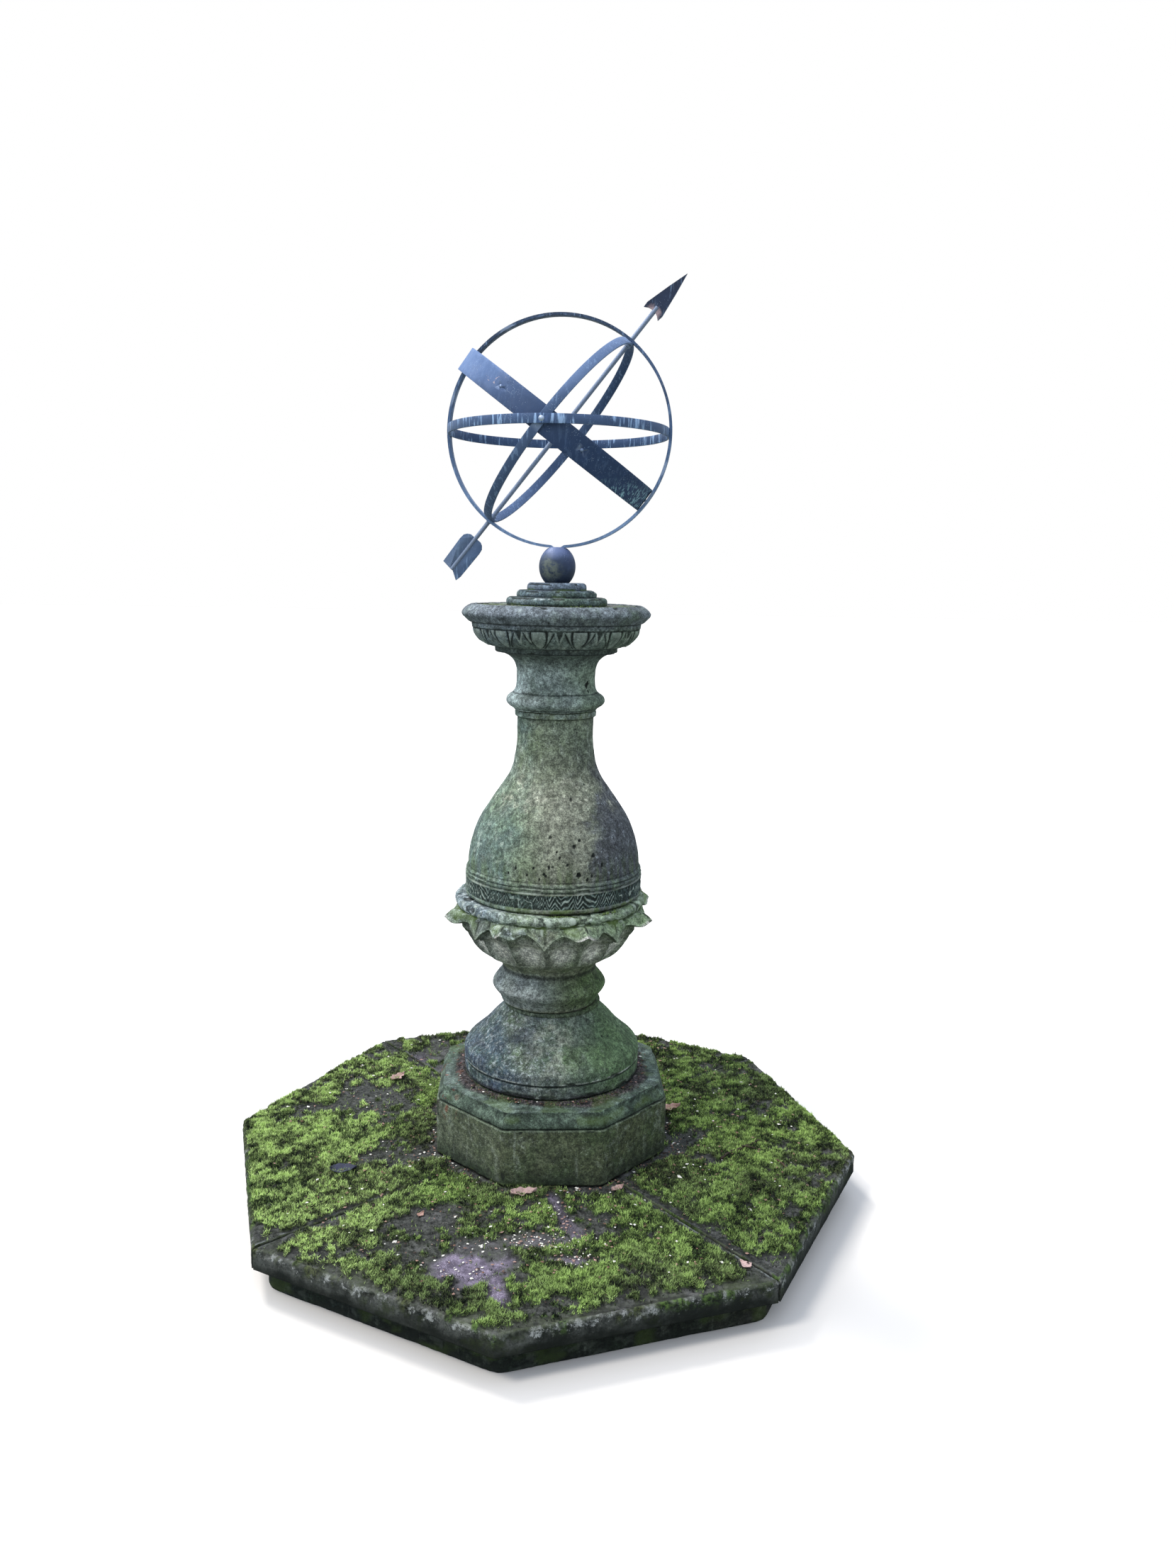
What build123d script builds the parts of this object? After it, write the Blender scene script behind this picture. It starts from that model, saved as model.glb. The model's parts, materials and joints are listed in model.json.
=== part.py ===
from build123d import *
import os
from math import atan2, cos, degrees, radians, sin, sqrt

# Garden armillary sphere on a cast-stone baluster, standing on an octagonal
# paved base.  Millimetres, +Z up.  The origin is on the column's axis at
# ground level, on the underside of the foundation course.  The plinth's
# flats face +X, -X, +Y and -Y.

# ---------------------------------------------------------------- base
FOUND_R = 738.0          # foundation course, octagon corner radius
FOUND_H = 54.0
SLAB_BED_R = 724.0       # mortar bed under the paving
SLAB_BED_H = 8.0
SLAB_R = 774.2           # paving octagon, corner radius (edges 593)
SLAB_H = 48.0
SLAB_X, SLAB_Y = -19.85, -32.81   # the paving is laid a little off the axis
SLAB_TURN = -97.11       # bearing of the paving's front corner, degrees
SLAB_JOINT = 6.0         # open joint between slabs
SLAB_ROUND = 13.0        # worn top arris
BED_H = 5.0              # mortar bed under the plinth and the bell

# ---------------------------------------------------------------- plinth
PLINTH_R = 301.4         # corner radius at the foot (557 across flats)
PLINTH_TOP_R = 283.0     # corner radius at the top of the moulding
PLINTH_ARRIS = 140.5     # height of the upper arris above the paving
PLINTH_TOP = 180.0

# ---------------------------------------------------------------- column
CALYX_X = -8.0           # the calyx section sits off the axis
LEAF_TURN = -71.13       # bearing of one leaf tip
DOWEL_R = 8.0            # stainless locating dowels
DOWEL_L = 110.0
GROUT = 0.05             # dowel hole, radial

# ---------------------------------------------------------------- pivot
SLEEVE_R = 16.0          # bronze sleeve grouted into the cap
SLEEVE_L = 80.0
STUD_R = 10.0            # pivot stud under the ball
RUN = 0.05               # radial running clearance
BALL_A, BALL_B = 42.5, 49.0       # ball, half width and half height

# ---------------------------------------------------------------- sphere
LATITUDE = 51.0          # inclination of the polar axis
NORTH = -9.6             # bearing of the meridian plane from +X
RING_R = 257.8           # meridian ring, outer
RING_T = 6.0
RING_W = 22.0
BAR_T = 5.0              # horizon and colure rings
HORIZON_W = 20.0
COLURE_W = 20.0
BAND_W = 56.0            # equatorial band
BAND_TILT = 2.4          # its plane lies this much flatter than square to the rod
BAND_T = 4.0
ROD_R = 5.0              # gnomon rod
BUSH_R = 7.0
HEAD_T = 5.0             # arrow head plate
HEAD_TILT = 4.5          # and its lean towards the lower side
VANE_T = 4.0             # flight plate
TIP = 439.2              # arrow tip from the sphere's centre
TAIL = -399.7

G = FOUND_H + SLAB_BED_H + SLAB_H         # top of the paving above ground (110)
CENTRE_Z = G + 1711.5                     # sphere centre above ground


def octagon_prism(radius, z0, z1, x=0.0, y=0.0, turn=22.5):
    """Upright octagonal prism; turn is the bearing of one corner."""
    pts = [(x + radius * cos(radians(turn + 45 * i)),
            y + radius * sin(radians(turn + 45 * i))) for i in range(8)]
    face = make_face(Polyline(*pts, close=True).edges())
    return Pos(0, 0, z0) * extrude(face, amount=z1 - z0, dir=(0, 0, 1))


def turned(pieces, x=0.0):
    """Solid of revolution.  pieces is a list of ('line', [(r, z)...]) and
    ('curve', [(r, z)...]) runs, each starting where the last one ended; z is
    above the paving."""
    edges = []
    last = None
    for kind, pts in pieces:
        run = ([last] if last else []) + [(r, 0, z + G) for r, z in pts]
        if kind == "line":
            for a, b in zip(run, run[1:]):
                edges.append(Edge.make_line(a, b))
        else:
            edges.append(Edge.make_spline([Vector(*p) for p in run]))
        last = run[-1]
    first = edges[0] @ 0
    edges.append(Edge.make_line(last, first))
    face = make_face(edges)
    return Pos(x, 0, 0) * revolve(face, Axis.Z, 360)


def rod_z(radius, z0, z1, x=0.0, y=0.0):
    return Pos(x, y, (z0 + z1) / 2) * Cylinder(radius, z1 - z0)


parts = {}

# ================================================================ base
parts["foundation_course"] = octagon_prism(FOUND_R, 0, FOUND_H, SLAB_X, SLAB_Y, SLAB_TURN)
parts["paving_mortar_bed"] = octagon_prism(SLAB_BED_R, FOUND_H, FOUND_H + SLAB_BED_H,
                                           SLAB_X, SLAB_Y, SLAB_TURN)


def corner(i, radius=SLAB_R):
    a = radians(SLAB_TURN + 45 * i)
    return (SLAB_X + radius * cos(a), SLAB_Y + radius * sin(a))


def paving_slab(first):
    """One of the four slabs, a kite of two octagon edges, cut back to the
    open joints and with its worn arrises rounded."""
    z0 = FOUND_H + SLAB_BED_H
    pts = [(SLAB_X, SLAB_Y), corner(first), corner(first + 1), corner(first + 2)]
    face = make_face(Polyline(*pts, close=True).edges())
    slab = Pos(0, 0, z0) * extrude(face, amount=SLAB_H, dir=(0, 0, 1))
    for i in (first, first + 2):
        a = SLAB_TURN + 45 * i
        strip = Pos(SLAB_X, SLAB_Y, z0 + SLAB_H / 2) * Rot(0, 0, a) * Box(
            2400, SLAB_JOINT, SLAB_H + 2)
        slab = slab - strip
    outer = []
    for e in slab.edges():
        c = e.center()
        if abs(c.Z - (z0 + SLAB_H)) < 0.01:
            r = sqrt((c.X - SLAB_X) ** 2 + (c.Y - SLAB_Y) ** 2)
            if r > 600:
                outer.append(e)
    slab = fillet(outer, SLAB_ROUND)
    return slab


parts["paving_slab_front"] = paving_slab(-1)
parts["paving_slab_right"] = paving_slab(1)
parts["paving_slab_rear"] = paving_slab(3)
parts["paving_slab_left"] = paving_slab(5)

# ================================================================ plinth
parts["plinth_mortar_bed"] = octagon_prism(PLINTH_R - 9, G, G + BED_H)

flat = cos(radians(22.5))
a0, a1 = PLINTH_R * flat, PLINTH_TOP_R * flat
prism = None
for k in range(4):
    # moulding section, mirrored, run right across; four of these meet in mitres
    z_b, z_a, z_t = G + BED_H, G + PLINTH_ARRIS, G + PLINTH_TOP
    right = [Edge.make_line((a0, 0, z_b), (a0, 0, z_a)),
             Edge.make_line((a0, 0, z_a), (a0 - 3.0, 0, z_a + 3.5)),
             Edge.make_spline([Vector(a0 - 3.0, 0, z_a + 3.5), Vector(a0 - 4.4, 0, z_a + 11),
                               Vector(a0 - 8.8, 0, z_a + 20), Vector(a1 + 2.6, 0, z_a + 28),
                               Vector(a1 + 1.0, 0, z_t - 4)]),
             Edge.make_line((a1 + 1.0, 0, z_t - 4), (a1, 0, z_t))]
    left = [Edge.make_line((-a0, 0, z_b), (-a0, 0, z_a)),
            Edge.make_line((-a0, 0, z_a), (-a0 + 3.0, 0, z_a + 3.5)),
            Edge.make_spline([Vector(-a0 + 3.0, 0, z_a + 3.5), Vector(-a0 + 4.4, 0, z_a + 11),
                              Vector(-a0 + 8.8, 0, z_a + 20), Vector(-a1 - 2.6, 0, z_a + 28),
                              Vector(-a1 - 1.0, 0, z_t - 4)]),
            Edge.make_line((-a1 - 1.0, 0, z_t - 4), (-a1, 0, z_t))]
    section = make_face(right + left + [Edge.make_line((a0, 0, z_b), (-a0, 0, z_b)),
                                        Edge.make_line((a1, 0, z_t), (-a1, 0, z_t))])
    bar = Rot(0, 0, 45 * k) * (Pos(0, 400, 0) * extrude(section, amount=800, dir=(0, -1, 0)))
    prism = bar if prism is None else prism & bar
plinth = prism
parts["bell_mortar_bed"] = rod_z(206, G + 180, G + 185)

# ================================================================ column
bell = turned([
    ("line", [(0, 185), (213, 185), (216, 188), (216.5, 211), (214.0, 213), (214.0, 215.5),
              (217, 218), (217, 238)]),
    ("curve", [(216, 243), (213.5, 248), (209.3, 253), (197.5, 263), (186, 273), (165.5, 293),
               (147.9, 313), (128.4, 333), (120.7, 341), (116.5, 347)]),
    ("line", [(116.5, 349), (118.5, 351), (118.5, 357), (117, 358), (0, 358)])])

calyx = turned([
    ("line", [(0, 360), (114, 360), (117.2, 363)]),
    ("curve", [(121, 373), (126.9, 383), (134.9, 393), (139.5, 403), (136.2, 411), (128.5, 422),
               (118.8, 434), (114.8, 445)]),
    ("curve", [(117.0, 455), (122.8, 463), (134.7, 473), (151.1, 483), (168.2, 493), (183.3, 508),
               (194.4, 523), (204.2, 538), (209, 548)]),
    ("curve", [(224, 560), (238, 575), (243, 590), (238, 603), (226, 613), (219, 617)]),
    ("curve", [(225.5, 620), (226, 626), (219, 630)]),
    ("line", [(0, 630)])], CALYX_X)
# eight pointed leaf tips standing out of the lip
star = [((268 if i % 2 == 0 else 205) * cos(radians(LEAF_TURN + 22.5 * i)) + CALYX_X,
         (268 if i % 2 == 0 else 205) * sin(radians(LEAF_TURN + 22.5 * i))) for i in range(16)]
tips = turned([("line", [(0, 566), (205, 566), (258, 578), (264, 582), (264, 586), (256, 592),
                         (226, 606), (205, 608), (0, 608)])], CALYX_X)
calyx = calyx + (tips & (Pos(0, 0, G + 560)
                         * extrude(make_face(Polyline(*star, close=True).edges()), amount=60,
                                   dir=(0, 0, 1))))
# sixteen hollows under the leaves
for k in range(16):
    a = LEAF_TURN + 11.25 + 22.5 * k
    calyx = calyx - (Pos(CALYX_X, 0, G + 522) * Rot(0, 0, a) * Pos(214, 0, 0) * Rot(0, 20, 0)
                     * Sphere(28))

shaft = turned([
    ("line", [(0, 634), (209, 634), (212.3, 637), (213.4, 642), (213.6, 680), (210.5, 682),
              (210.5, 683.5)]),
    ("curve", [(212.7, 687), (212, 691), (209.6, 692.5)]),
    ("curve", [(211.3, 696), (210, 700), (207.2, 702)]),
    ("line", [(206.4, 706)]),
    ("curve", [(205.6, 728), (203.1, 743), (197.5, 768), (190.8, 789), (182.3, 809), (171.9, 829),
               (158.7, 849), (145.5, 869), (131.8, 889), (117.8, 909), (106.4, 929), (98.8, 949),
               (94.9, 969), (92.2, 989), (90.4, 1009), (90.6, 1034), (90.6, 1054), (92.5, 1065),
               (96.2, 1077)]),
    ("line", [(0, 1077)])])

capital = turned([
    ("line", [(0, 1079), (97, 1079)]),
    ("curve", [(101.7, 1084), (109.6, 1089), (114.7, 1094), (117, 1100), (114.5, 1109),
               (109.6, 1114), (102.1, 1119)]),
    ("curve", [(95.6, 1129), (93, 1141), (92.8, 1164), (94.6, 1179), (100.7, 1194),
               (110.5, 1204), (119.1, 1209), (132.5, 1214)]),
    ("line", [(142.0, 1214.5), (143.8, 1217), (144.2, 1226)]),
    ("curve", [(156, 1229), (167.3, 1234), (176.3, 1239), (186.1, 1249), (192.2, 1259),
               (194.9, 1269)]),
    ("line", [(194.2, 1270.5), (197.2, 1271.5), (198.4, 1280.5), (197.2, 1282)]),
    ("curve", [(204, 1284), (213.8, 1293), (219.6, 1299), (221, 1304), (217, 1312), (209, 1319),
               (200, 1324)]),
    ("line", [(192, 1324), (189, 1320), (0, 1320)])])

cap = turned([
    ("line", [(0, 1323), (117, 1323)]),
    ("curve", [(118.6, 1330), (117, 1337), (112, 1341)]),
    ("line", [(93.5, 1341.5)]),
    ("curve", [(94.2, 1347), (92.4, 1353), (88, 1357)]),
    ("line", [(69.5, 1357.5)]),
    ("curve", [(69.8, 1363), (68, 1370), (63, 1374)]),
    ("line", [(0, 1374)])])

# mortar between the column's pieces, each bed a little inside the faces it joins
calyx_bed = rod_z(110, G + 358, G + 360)
shaft_bed = rod_z(204, G + 630, G + 634)
capital_bed = rod_z(94, G + 1077, G + 1079)
cap_bed = rod_z(113, G + 1320, G + 1323)

# dowels through the beds
dowel_z = {"plinth": G, "bell": G + 182, "calyx": G + 359, "shaft": G + 632, "capital": G + 1078}
dowels, holes = [], []
for z in dowel_z.values():
    dowels.append(rod_z(DOWEL_R, z - DOWEL_L / 2 if z > G else G, z + DOWEL_L / 2))
    holes.append(rod_z(DOWEL_R + GROUT, z - DOWEL_L / 2 if z > G else G - 0.5,
                       z + DOWEL_L / 2))


def bored(solid, cutters):
    for c in cutters:
        solid = solid - c
    return solid


parts["plinth_mortar_bed"] = bored(parts["plinth_mortar_bed"], holes[:1])
parts["plinth_block"] = bored(plinth, holes[:2])
parts["bell_mortar_bed"] = bored(parts["bell_mortar_bed"], holes[1:2])
parts["base_bell"] = bored(bell, holes[1:3])
parts["calyx_mortar_bed"] = bored(calyx_bed, holes[2:3])
parts["calyx_section"] = bored(calyx, holes[2:4])
parts["shaft_mortar_bed"] = bored(shaft_bed, holes[3:4])
parts["baluster_shaft"] = bored(shaft, holes[3:5])
parts["capital_mortar_bed"] = bored(capital_bed, holes[4:5])
parts["column_dowels"] = dowels

# ================================================================ pivot
cap_top = G + 1374
well = rod_z(SLEEVE_R, cap_top - SLEEVE_L - 12, cap_top + 1)
parts["capital"] = bored(capital, holes[4:5] + [well])
parts["cap_mortar_bed"] = bored(cap_bed, [well])
parts["stepped_cap"] = bored(cap, [well])
parts["pivot_sleeve"] = (rod_z(SLEEVE_R, cap_top - SLEEVE_L, cap_top)
                         - rod_z(STUD_R + RUN, cap_top - SLEEVE_L - 1, cap_top + 1))
stud_low = cap_top - SLEEVE_L - 8
groove = (rod_z(STUD_R + 1, cap_top - SLEEVE_L - 3.0, cap_top - SLEEVE_L - 1.0)
          - rod_z(STUD_R - 2, cap_top - SLEEVE_L - 3.5, cap_top - SLEEVE_L - 0.5))
parts["stud_circlip"] = (rod_z(STUD_R + 3.5, cap_top - SLEEVE_L - 3.0, cap_top - SLEEVE_L - 1.0)
                         - rod_z(STUD_R - 2, cap_top - SLEEVE_L - 3.5, cap_top - SLEEVE_L - 0.5)
                         - Pos(0, 12, cap_top - SLEEVE_L - 2) * Box(6, 24, 4))
stud_top = cap_top + 56
tapped = rod_z(5.0, stud_top - 22, stud_top + 1)
parts["pivot_stud"] = rod_z(STUD_R, stud_low, stud_top) - groove - tapped

# ball, seated flat on the cap, with a slot across its crown for the meridian ring
ball_base = cap_top + 0.1
ball_z = ball_base + 37.0
seat_z = CENTRE_Z - 262.3                 # underside of the ring in its slot
crown_z = ball_z + 44.3
half = make_face([Edge.make_ellipse(BALL_A, BALL_B, plane=Plane.XZ, start_angle=-90, end_angle=90),
                  Edge.make_line((0, 0, -BALL_B), (0, 0, BALL_B))])
ball = Pos(0, 0, ball_z) * revolve(half, Axis.Z, 360)
ball = ball & (Pos(0, 0, (ball_base + crown_z) / 2) * Box(120, 120, crown_z - ball_base))


def in_meridian(pts, width, y=0.0):
    """Plate in the meridian plane from an outline of (x, z) points measured
    from the sphere's centre, already turned to the north bearing."""
    face = make_face(Polyline(*[(px, 0, pz) for px, pz in pts], close=True).edges())
    plate = Pos(0, width / 2 + y, 0) * extrude(face, amount=width, dir=(0, -1, 0))
    return plate


site = Pos(0, 0, CENTRE_Z) * Rot(0, 0, NORTH)
slot = site * in_meridian([(-32, -235), (-32, -256.8), (-17.2, -258.4), (-9.6, -262.3),
                           (9.6, -262.3), (17.2, -258.4), (32, -256.8), (32, -235)],
                          RING_W + 0.6)
ball = ball - slot - rod_z(STUD_R, ball_base - 1, stud_top) - rod_z(5.25, stud_top - 1, seat_z + 2)
parts["mounting_ball"] = ball

# ================================================================ rings
# Local frame: X towards north in the meridian plane, Z up, Y across it.
phi = radians(LATITUDE)
pole = Rot(0, 90 - LATITUDE, 0)           # local Z of this turn is the polar axis


def on_axis_z(radius, p0, p1):
    """Cylinder on the polar axis from p0 to p1."""
    return pole * Pos(0, 0, (p0 + p1) / 2) * Cylinder(radius, p1 - p0)


def along_x(radius, x0, x1, z=0.0):
    return Pos((x0 + x1) / 2, 0, z) * Rot(0, 90, 0) * Cylinder(radius, x1 - x0)


def along_y(radius, y0, y1):
    return Pos(0, (y0 + y1) / 2, 0) * Rot(90, 0, 0) * Cylinder(radius, y1 - y0)


def elliptic_hoop(a, b, thick, width, shift=0.0):
    """Hoop about local Z with outer half axes a (along X) and b (along Y)."""
    outer = make_face(Edge.make_ellipse(a, b, plane=Plane.XY))
    inner = make_face(Edge.make_ellipse(a - thick, b - thick, plane=Plane.XY))
    hoop = extrude(outer, amount=width, dir=(0, 0, 1)) - (
        Pos(0, 0, -1) * extrude(inner, amount=width + 2, dir=(0, 0, 1)))
    return Pos(shift, 0, -width / 2) * hoop


# meridian ring: a hoop with a short set at its foot, bent down into the ball's slot
meridian = Rot(90, 0, 0) * (Cylinder(RING_R, RING_W) - Cylinder(RING_R - RING_T, RING_W + 2))
inner_r, outer_r = RING_R - RING_T, RING_R
gap = in_meridian([(-16, -240), (-16, -270), (16, -270), (16, -240)], RING_W + 2)
meridian = meridian - gap
zi, zo = -sqrt(inner_r ** 2 - 256), -sqrt(outer_r ** 2 - 256)
foot = in_meridian([(-16, zi), (-8.5, -256.3), (8.5, -256.3), (16, zi),
                    (16, zo), (9.2, -262.3), (-9.2, -262.3), (-16, zo)], RING_W)
meridian = meridian + foot
screw_hole = Pos(0, 0, -259.3) * Cylinder(5.25, 10) + (
    Pos(0, 0, -256.3 - 2.5) * Cone(5.25, 8.6, 5.0))
meridian = meridian - screw_hole

horizon = Cylinder(inner_r - 0.3, HORIZON_W) - Cylinder(inner_r - 0.3 - BAR_T, HORIZON_W + 2)

# colure: through both poles and the east and west points, inside the horizon ring
COLURE_P, COLURE_Y = inner_r - 0.4, inner_r - 0.3 - BAR_T - 0.3
colure = pole * Rot(0, 90, 0) * elliptic_hoop(COLURE_P, COLURE_Y, BAR_T, COLURE_W)

# equatorial band: outside the meridian ring above, inside it below, inside the
# colure at east and west.  Local -X of the pole frame is the upper side.
UPPER, LOWER, BAND_Y = 262.2, 248.7, 238.2
band_a, band_c = (UPPER + LOWER) / 2, (UPPER - LOWER) / 2
band_pole = Rot(0, -BAND_TILT, 0) * pole
band = band_pole * elliptic_hoop(band_a, BAND_Y, BAND_T, BAND_W, -band_c)

def rivet(shank, grip, head_r, head_h, tail_r, tail_h, ease):
    """Domed rivet along local Z: the head's flat is at z = 0, and the peened
    tail starts at -(grip + ease)."""
    t0 = -(grip + ease)
    rh = (head_r ** 2 + head_h ** 2) / (2 * head_h)
    rt = (tail_r ** 2 + tail_h ** 2) / (2 * tail_h)
    dome = (Pos(0, 0, head_h - rh) * Sphere(rh)) & (Pos(0, 0, 50) * Box(100, 100, 100))
    tail = (Pos(0, 0, t0 - tail_h + rt) * Sphere(rt)) & (Pos(0, 0, t0 - 50) * Box(100, 100, 100))
    return dome + tail + rod_z(shank, t0 - 0.2, 0.2)


# rivets through the three rings at the east and west points
rivets, rivet_holes = [], []
for s in (-1, 1):
    y_in, y_out = BAND_Y - BAND_T, inner_r - 0.3
    rivet_holes.append(along_y(3.5, min(s * (y_in - 5), s * (y_out + 5)),
                               max(s * (y_in - 5), s * (y_out + 5))))
    rivets.append(Pos(0, s * y_out, 0) * Rot(-90 * s, 0, 0)
                  * rivet(3.5, y_out - y_in, 6.2, 3.4, 5.6, 2.6, 0.4))

# small rivets on the band, 25 degrees either side of east and west
small, small_holes = [], []
for s in (-1, 1):
    for t in (-1, 1):
        ang = radians(25)
        # point on the band's outer ellipse in the pole frame, and its normal
        px = -band_c + band_a * sin(ang) * t
        py = s * BAND_Y * cos(ang)
        turn = degrees(atan2(py / BAND_Y ** 2, (px + band_c) / band_a ** 2))
        seat = band_pole * Pos(px, py, 0) * Rot(0, 0, turn) * Rot(0, 90, 0)
        small_holes.append(seat * Pos(0, 0, -2) * Cylinder(2.5, 14))
        small.append(seat * rivet(2.5, BAND_T, 4.2, 2.6, 3.8, 1.6, 0.25))

# flush rivets holding the horizon ring and the band to the meridian ring
flush, flush_holes = [], []
for s in (-1, 1):
    lo, hi = inner_r - 0.3 - BAR_T, outer_r
    flush.append(along_x(3.0, min(s * lo, s * hi), max(s * lo, s * hi)) & (
        Rot(90, 0, 0) * Cylinder(outer_r, 30)))
    flush_holes.append(along_x(3.0, min(s * (lo - 4), s * (hi + 4)), max(s * (lo - 4), s * (hi + 4))))
low_in = LOWER - BAND_T
flush.append(band_pole * along_x(3.0, low_in, outer_r) & (Rot(90, 0, 0) * Cylinder(outer_r, 30)))
flush_holes.append(band_pole * along_x(3.0, low_in - 6, outer_r + 6))
flush.append(band_pole * along_x(3.0, -UPPER, -inner_r) & (band_pole * Pos(-band_c, 0, 0) * Cylinder(band_a, 30)))
flush_holes.append(band_pole * along_x(3.0, -UPPER - 6, -inner_r + 6))

# pole bushes and their bores
bushes, bores = [], []
for s in (-1, 1):
    p0, p1 = COLURE_P - BAR_T - 1.0, outer_r + 1.2
    a, b = min(s * p0, s * p1), max(s * p0, s * p1)
    bushes.append(on_axis_z(BUSH_R, a, b) - on_axis_z(ROD_R + RUN, a - 1, b + 1))
    bores.append(on_axis_z(BUSH_R, a - 4, b + 4))

parts["meridian_ring"] = site * bored(meridian, bores + flush_holes)
parts["horizon_ring"] = site * bored(horizon, rivet_holes + flush_holes[:2])
parts["colure_ring"] = site * bored(colure, rivet_holes + bores)
parts["equatorial_band"] = site * bored(band, rivet_holes + small_holes + flush_holes[2:])
parts["crossing_rivets"] = [site * r for r in rivets]
parts["band_rivets"] = [site * r for r in small]
parts["meridian_rivets"] = [site * r for r in flush]
parts["pole_bushes"] = [site * b for b in bushes]

# countersunk screw from the ring's foot into the stud
screw = (Pos(0, 0, CENTRE_Z - 256.3 - 2.5) * Cone(5.0, 8.3, 5.0)
         + rod_z(5.0, stud_top - 20, CENTRE_Z - 256.3 - 4.9))
screw = screw - Pos(0, 0, CENTRE_Z - 256.3) * Rot(0, 0, NORTH + 35) * Box(14, 1.6, 3.0)
parts["ring_screw"] = screw

# ================================================================ gnomon
rod = on_axis_z(ROD_R, TAIL, 345.0)
parts["gnomon_rod"] = site * rod


def polar(pts, thick):
    """Plate in the meridian plane from (p, u) points: p along the polar axis,
    u square to it towards the upper side."""
    out = []
    for p, u in pts:
        out.append((p * cos(phi) - u * sin(phi), p * sin(phi) + u * cos(phi)))
    return in_meridian(out, thick)


def droop(pts):
    """The head sits a little askew on the rod: turned about its socket."""
    c, n = cos(radians(HEAD_TILT)), sin(radians(HEAD_TILT))
    return [(325 + (p - 325) * c + u * n, 2.5 - (p - 325) * n + u * c) for p, u in pts]


head = polar(droop([(TIP, 0), (392, 11.5), (338, 23), (325, 21.7), (331, 13), (333, 6), (333, -6),
              (331, -13), (325, -21.7), (338, -23), (392, -11.5)]), HEAD_T) - rod
parts["arrow_head"] = site * head
flight = polar([(-307, 15), (-311, 22), (-318, 27.5), (-330, 29), (-397, 27), (TAIL, 4),
                (TAIL, -4), (-412.6, -24), (-400, -27.5), (-330, -29), (-318, -27.5),
                (-311, -22), (-307, -15)], VANE_T)
flight = flight - on_axis_z(ROD_R, TAIL - 20, -290)
parts["arrow_flights"] = [site * s for s in flight.solids()]
collars = []
for s in (-1, 1):
    inner = COLURE_P - BAR_T - 1.0 - 0.4
    a, b = min(s * inner, s * (inner - 6)), max(s * inner, s * (inner - 6))
    collars.append(site * (on_axis_z(7.5, a, b) - on_axis_z(ROD_R, a - 1, b + 1)))
parts["rod_collars"] = collars

# ================================================================ write
os.makedirs("parts", exist_ok=True)
for name, shape in parts.items():
    if isinstance(shape, list):
        solids = []
        for s in shape:
            solids.extend(s.solids())
    else:
        solids = list(shape.solids())
    item = solids[0] if len(solids) == 1 else Compound(children=solids)
    item.label = name
    export_step(item, os.path.join("parts", name + ".step"))
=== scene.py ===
import json
import math

import bpy
import numpy as np
from mathutils import Matrix, Vector


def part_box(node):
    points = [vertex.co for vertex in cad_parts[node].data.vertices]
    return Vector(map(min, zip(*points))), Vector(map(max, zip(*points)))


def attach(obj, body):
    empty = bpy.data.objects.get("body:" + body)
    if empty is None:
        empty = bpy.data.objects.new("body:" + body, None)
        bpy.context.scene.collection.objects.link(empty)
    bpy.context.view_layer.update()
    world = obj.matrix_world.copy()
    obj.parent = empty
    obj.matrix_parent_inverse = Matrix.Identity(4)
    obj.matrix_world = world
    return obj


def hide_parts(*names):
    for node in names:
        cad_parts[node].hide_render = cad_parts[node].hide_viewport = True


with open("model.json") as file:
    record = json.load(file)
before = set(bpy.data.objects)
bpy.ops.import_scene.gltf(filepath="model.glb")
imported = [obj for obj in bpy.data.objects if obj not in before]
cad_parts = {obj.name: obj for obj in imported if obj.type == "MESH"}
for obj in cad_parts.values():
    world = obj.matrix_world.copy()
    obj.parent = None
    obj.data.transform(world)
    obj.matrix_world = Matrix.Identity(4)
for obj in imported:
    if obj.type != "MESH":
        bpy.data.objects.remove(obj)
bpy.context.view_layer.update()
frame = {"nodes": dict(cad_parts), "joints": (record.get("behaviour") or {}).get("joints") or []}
MM = 0.001
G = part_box("paving_slab_front")[1].z          # top of the paving
CAM = math.radians(-1.13)                     # bearing of the viewer from -Y
rng = np.random.default_rng(51)


# ====================================================================== noise
def _h(ix, iy, iz, seed):
    n = (ix * 73856093) ^ (iy * 19349663) ^ (iz * 83492791) ^ (seed * 2654435761)
    n = n & 0xFFFFFFFF
    n = ((n ^ (n >> 15)) * 2246822519) & 0xFFFFFFFF
    n = ((n ^ (n >> 13)) * 3266489917) & 0xFFFFFFFF
    n = n ^ (n >> 16)
    return (n & 0xFFFFFF) / float(0xFFFFFF)


def vnoise(p, seed=0):
    """Value noise, 0 to 1, at points p (..., 3)."""
    i = np.floor(p).astype(np.int64)
    f = p - i
    u = f * f * f * (f * (f * 6 - 15) + 10)
    out = 0.0
    for dx in (0, 1):
        wx = u[..., 0] if dx else 1 - u[..., 0]
        for dy in (0, 1):
            wy = u[..., 1] if dy else 1 - u[..., 1]
            for dz in (0, 1):
                wz = u[..., 2] if dz else 1 - u[..., 2]
                out = out + wx * wy * wz * _h(i[..., 0] + dx, i[..., 1] + dy, i[..., 2] + dz, seed)
    return out


def fbm(p, scale, octaves=4, gain=0.5, seed=0):
    """Fractal noise, about -1 to 1; scale is features per metre."""
    q = np.asarray(p, float) * scale
    total, amp, norm = 0.0, 1.0, 0.0
    for k in range(octaves):
        total = total + amp * (vnoise(q, seed + 17 * k) * 2 - 1)
        norm += amp
        amp *= gain
        q = q * 2.03 + 5.3
    return total / norm * 1.6


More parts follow.
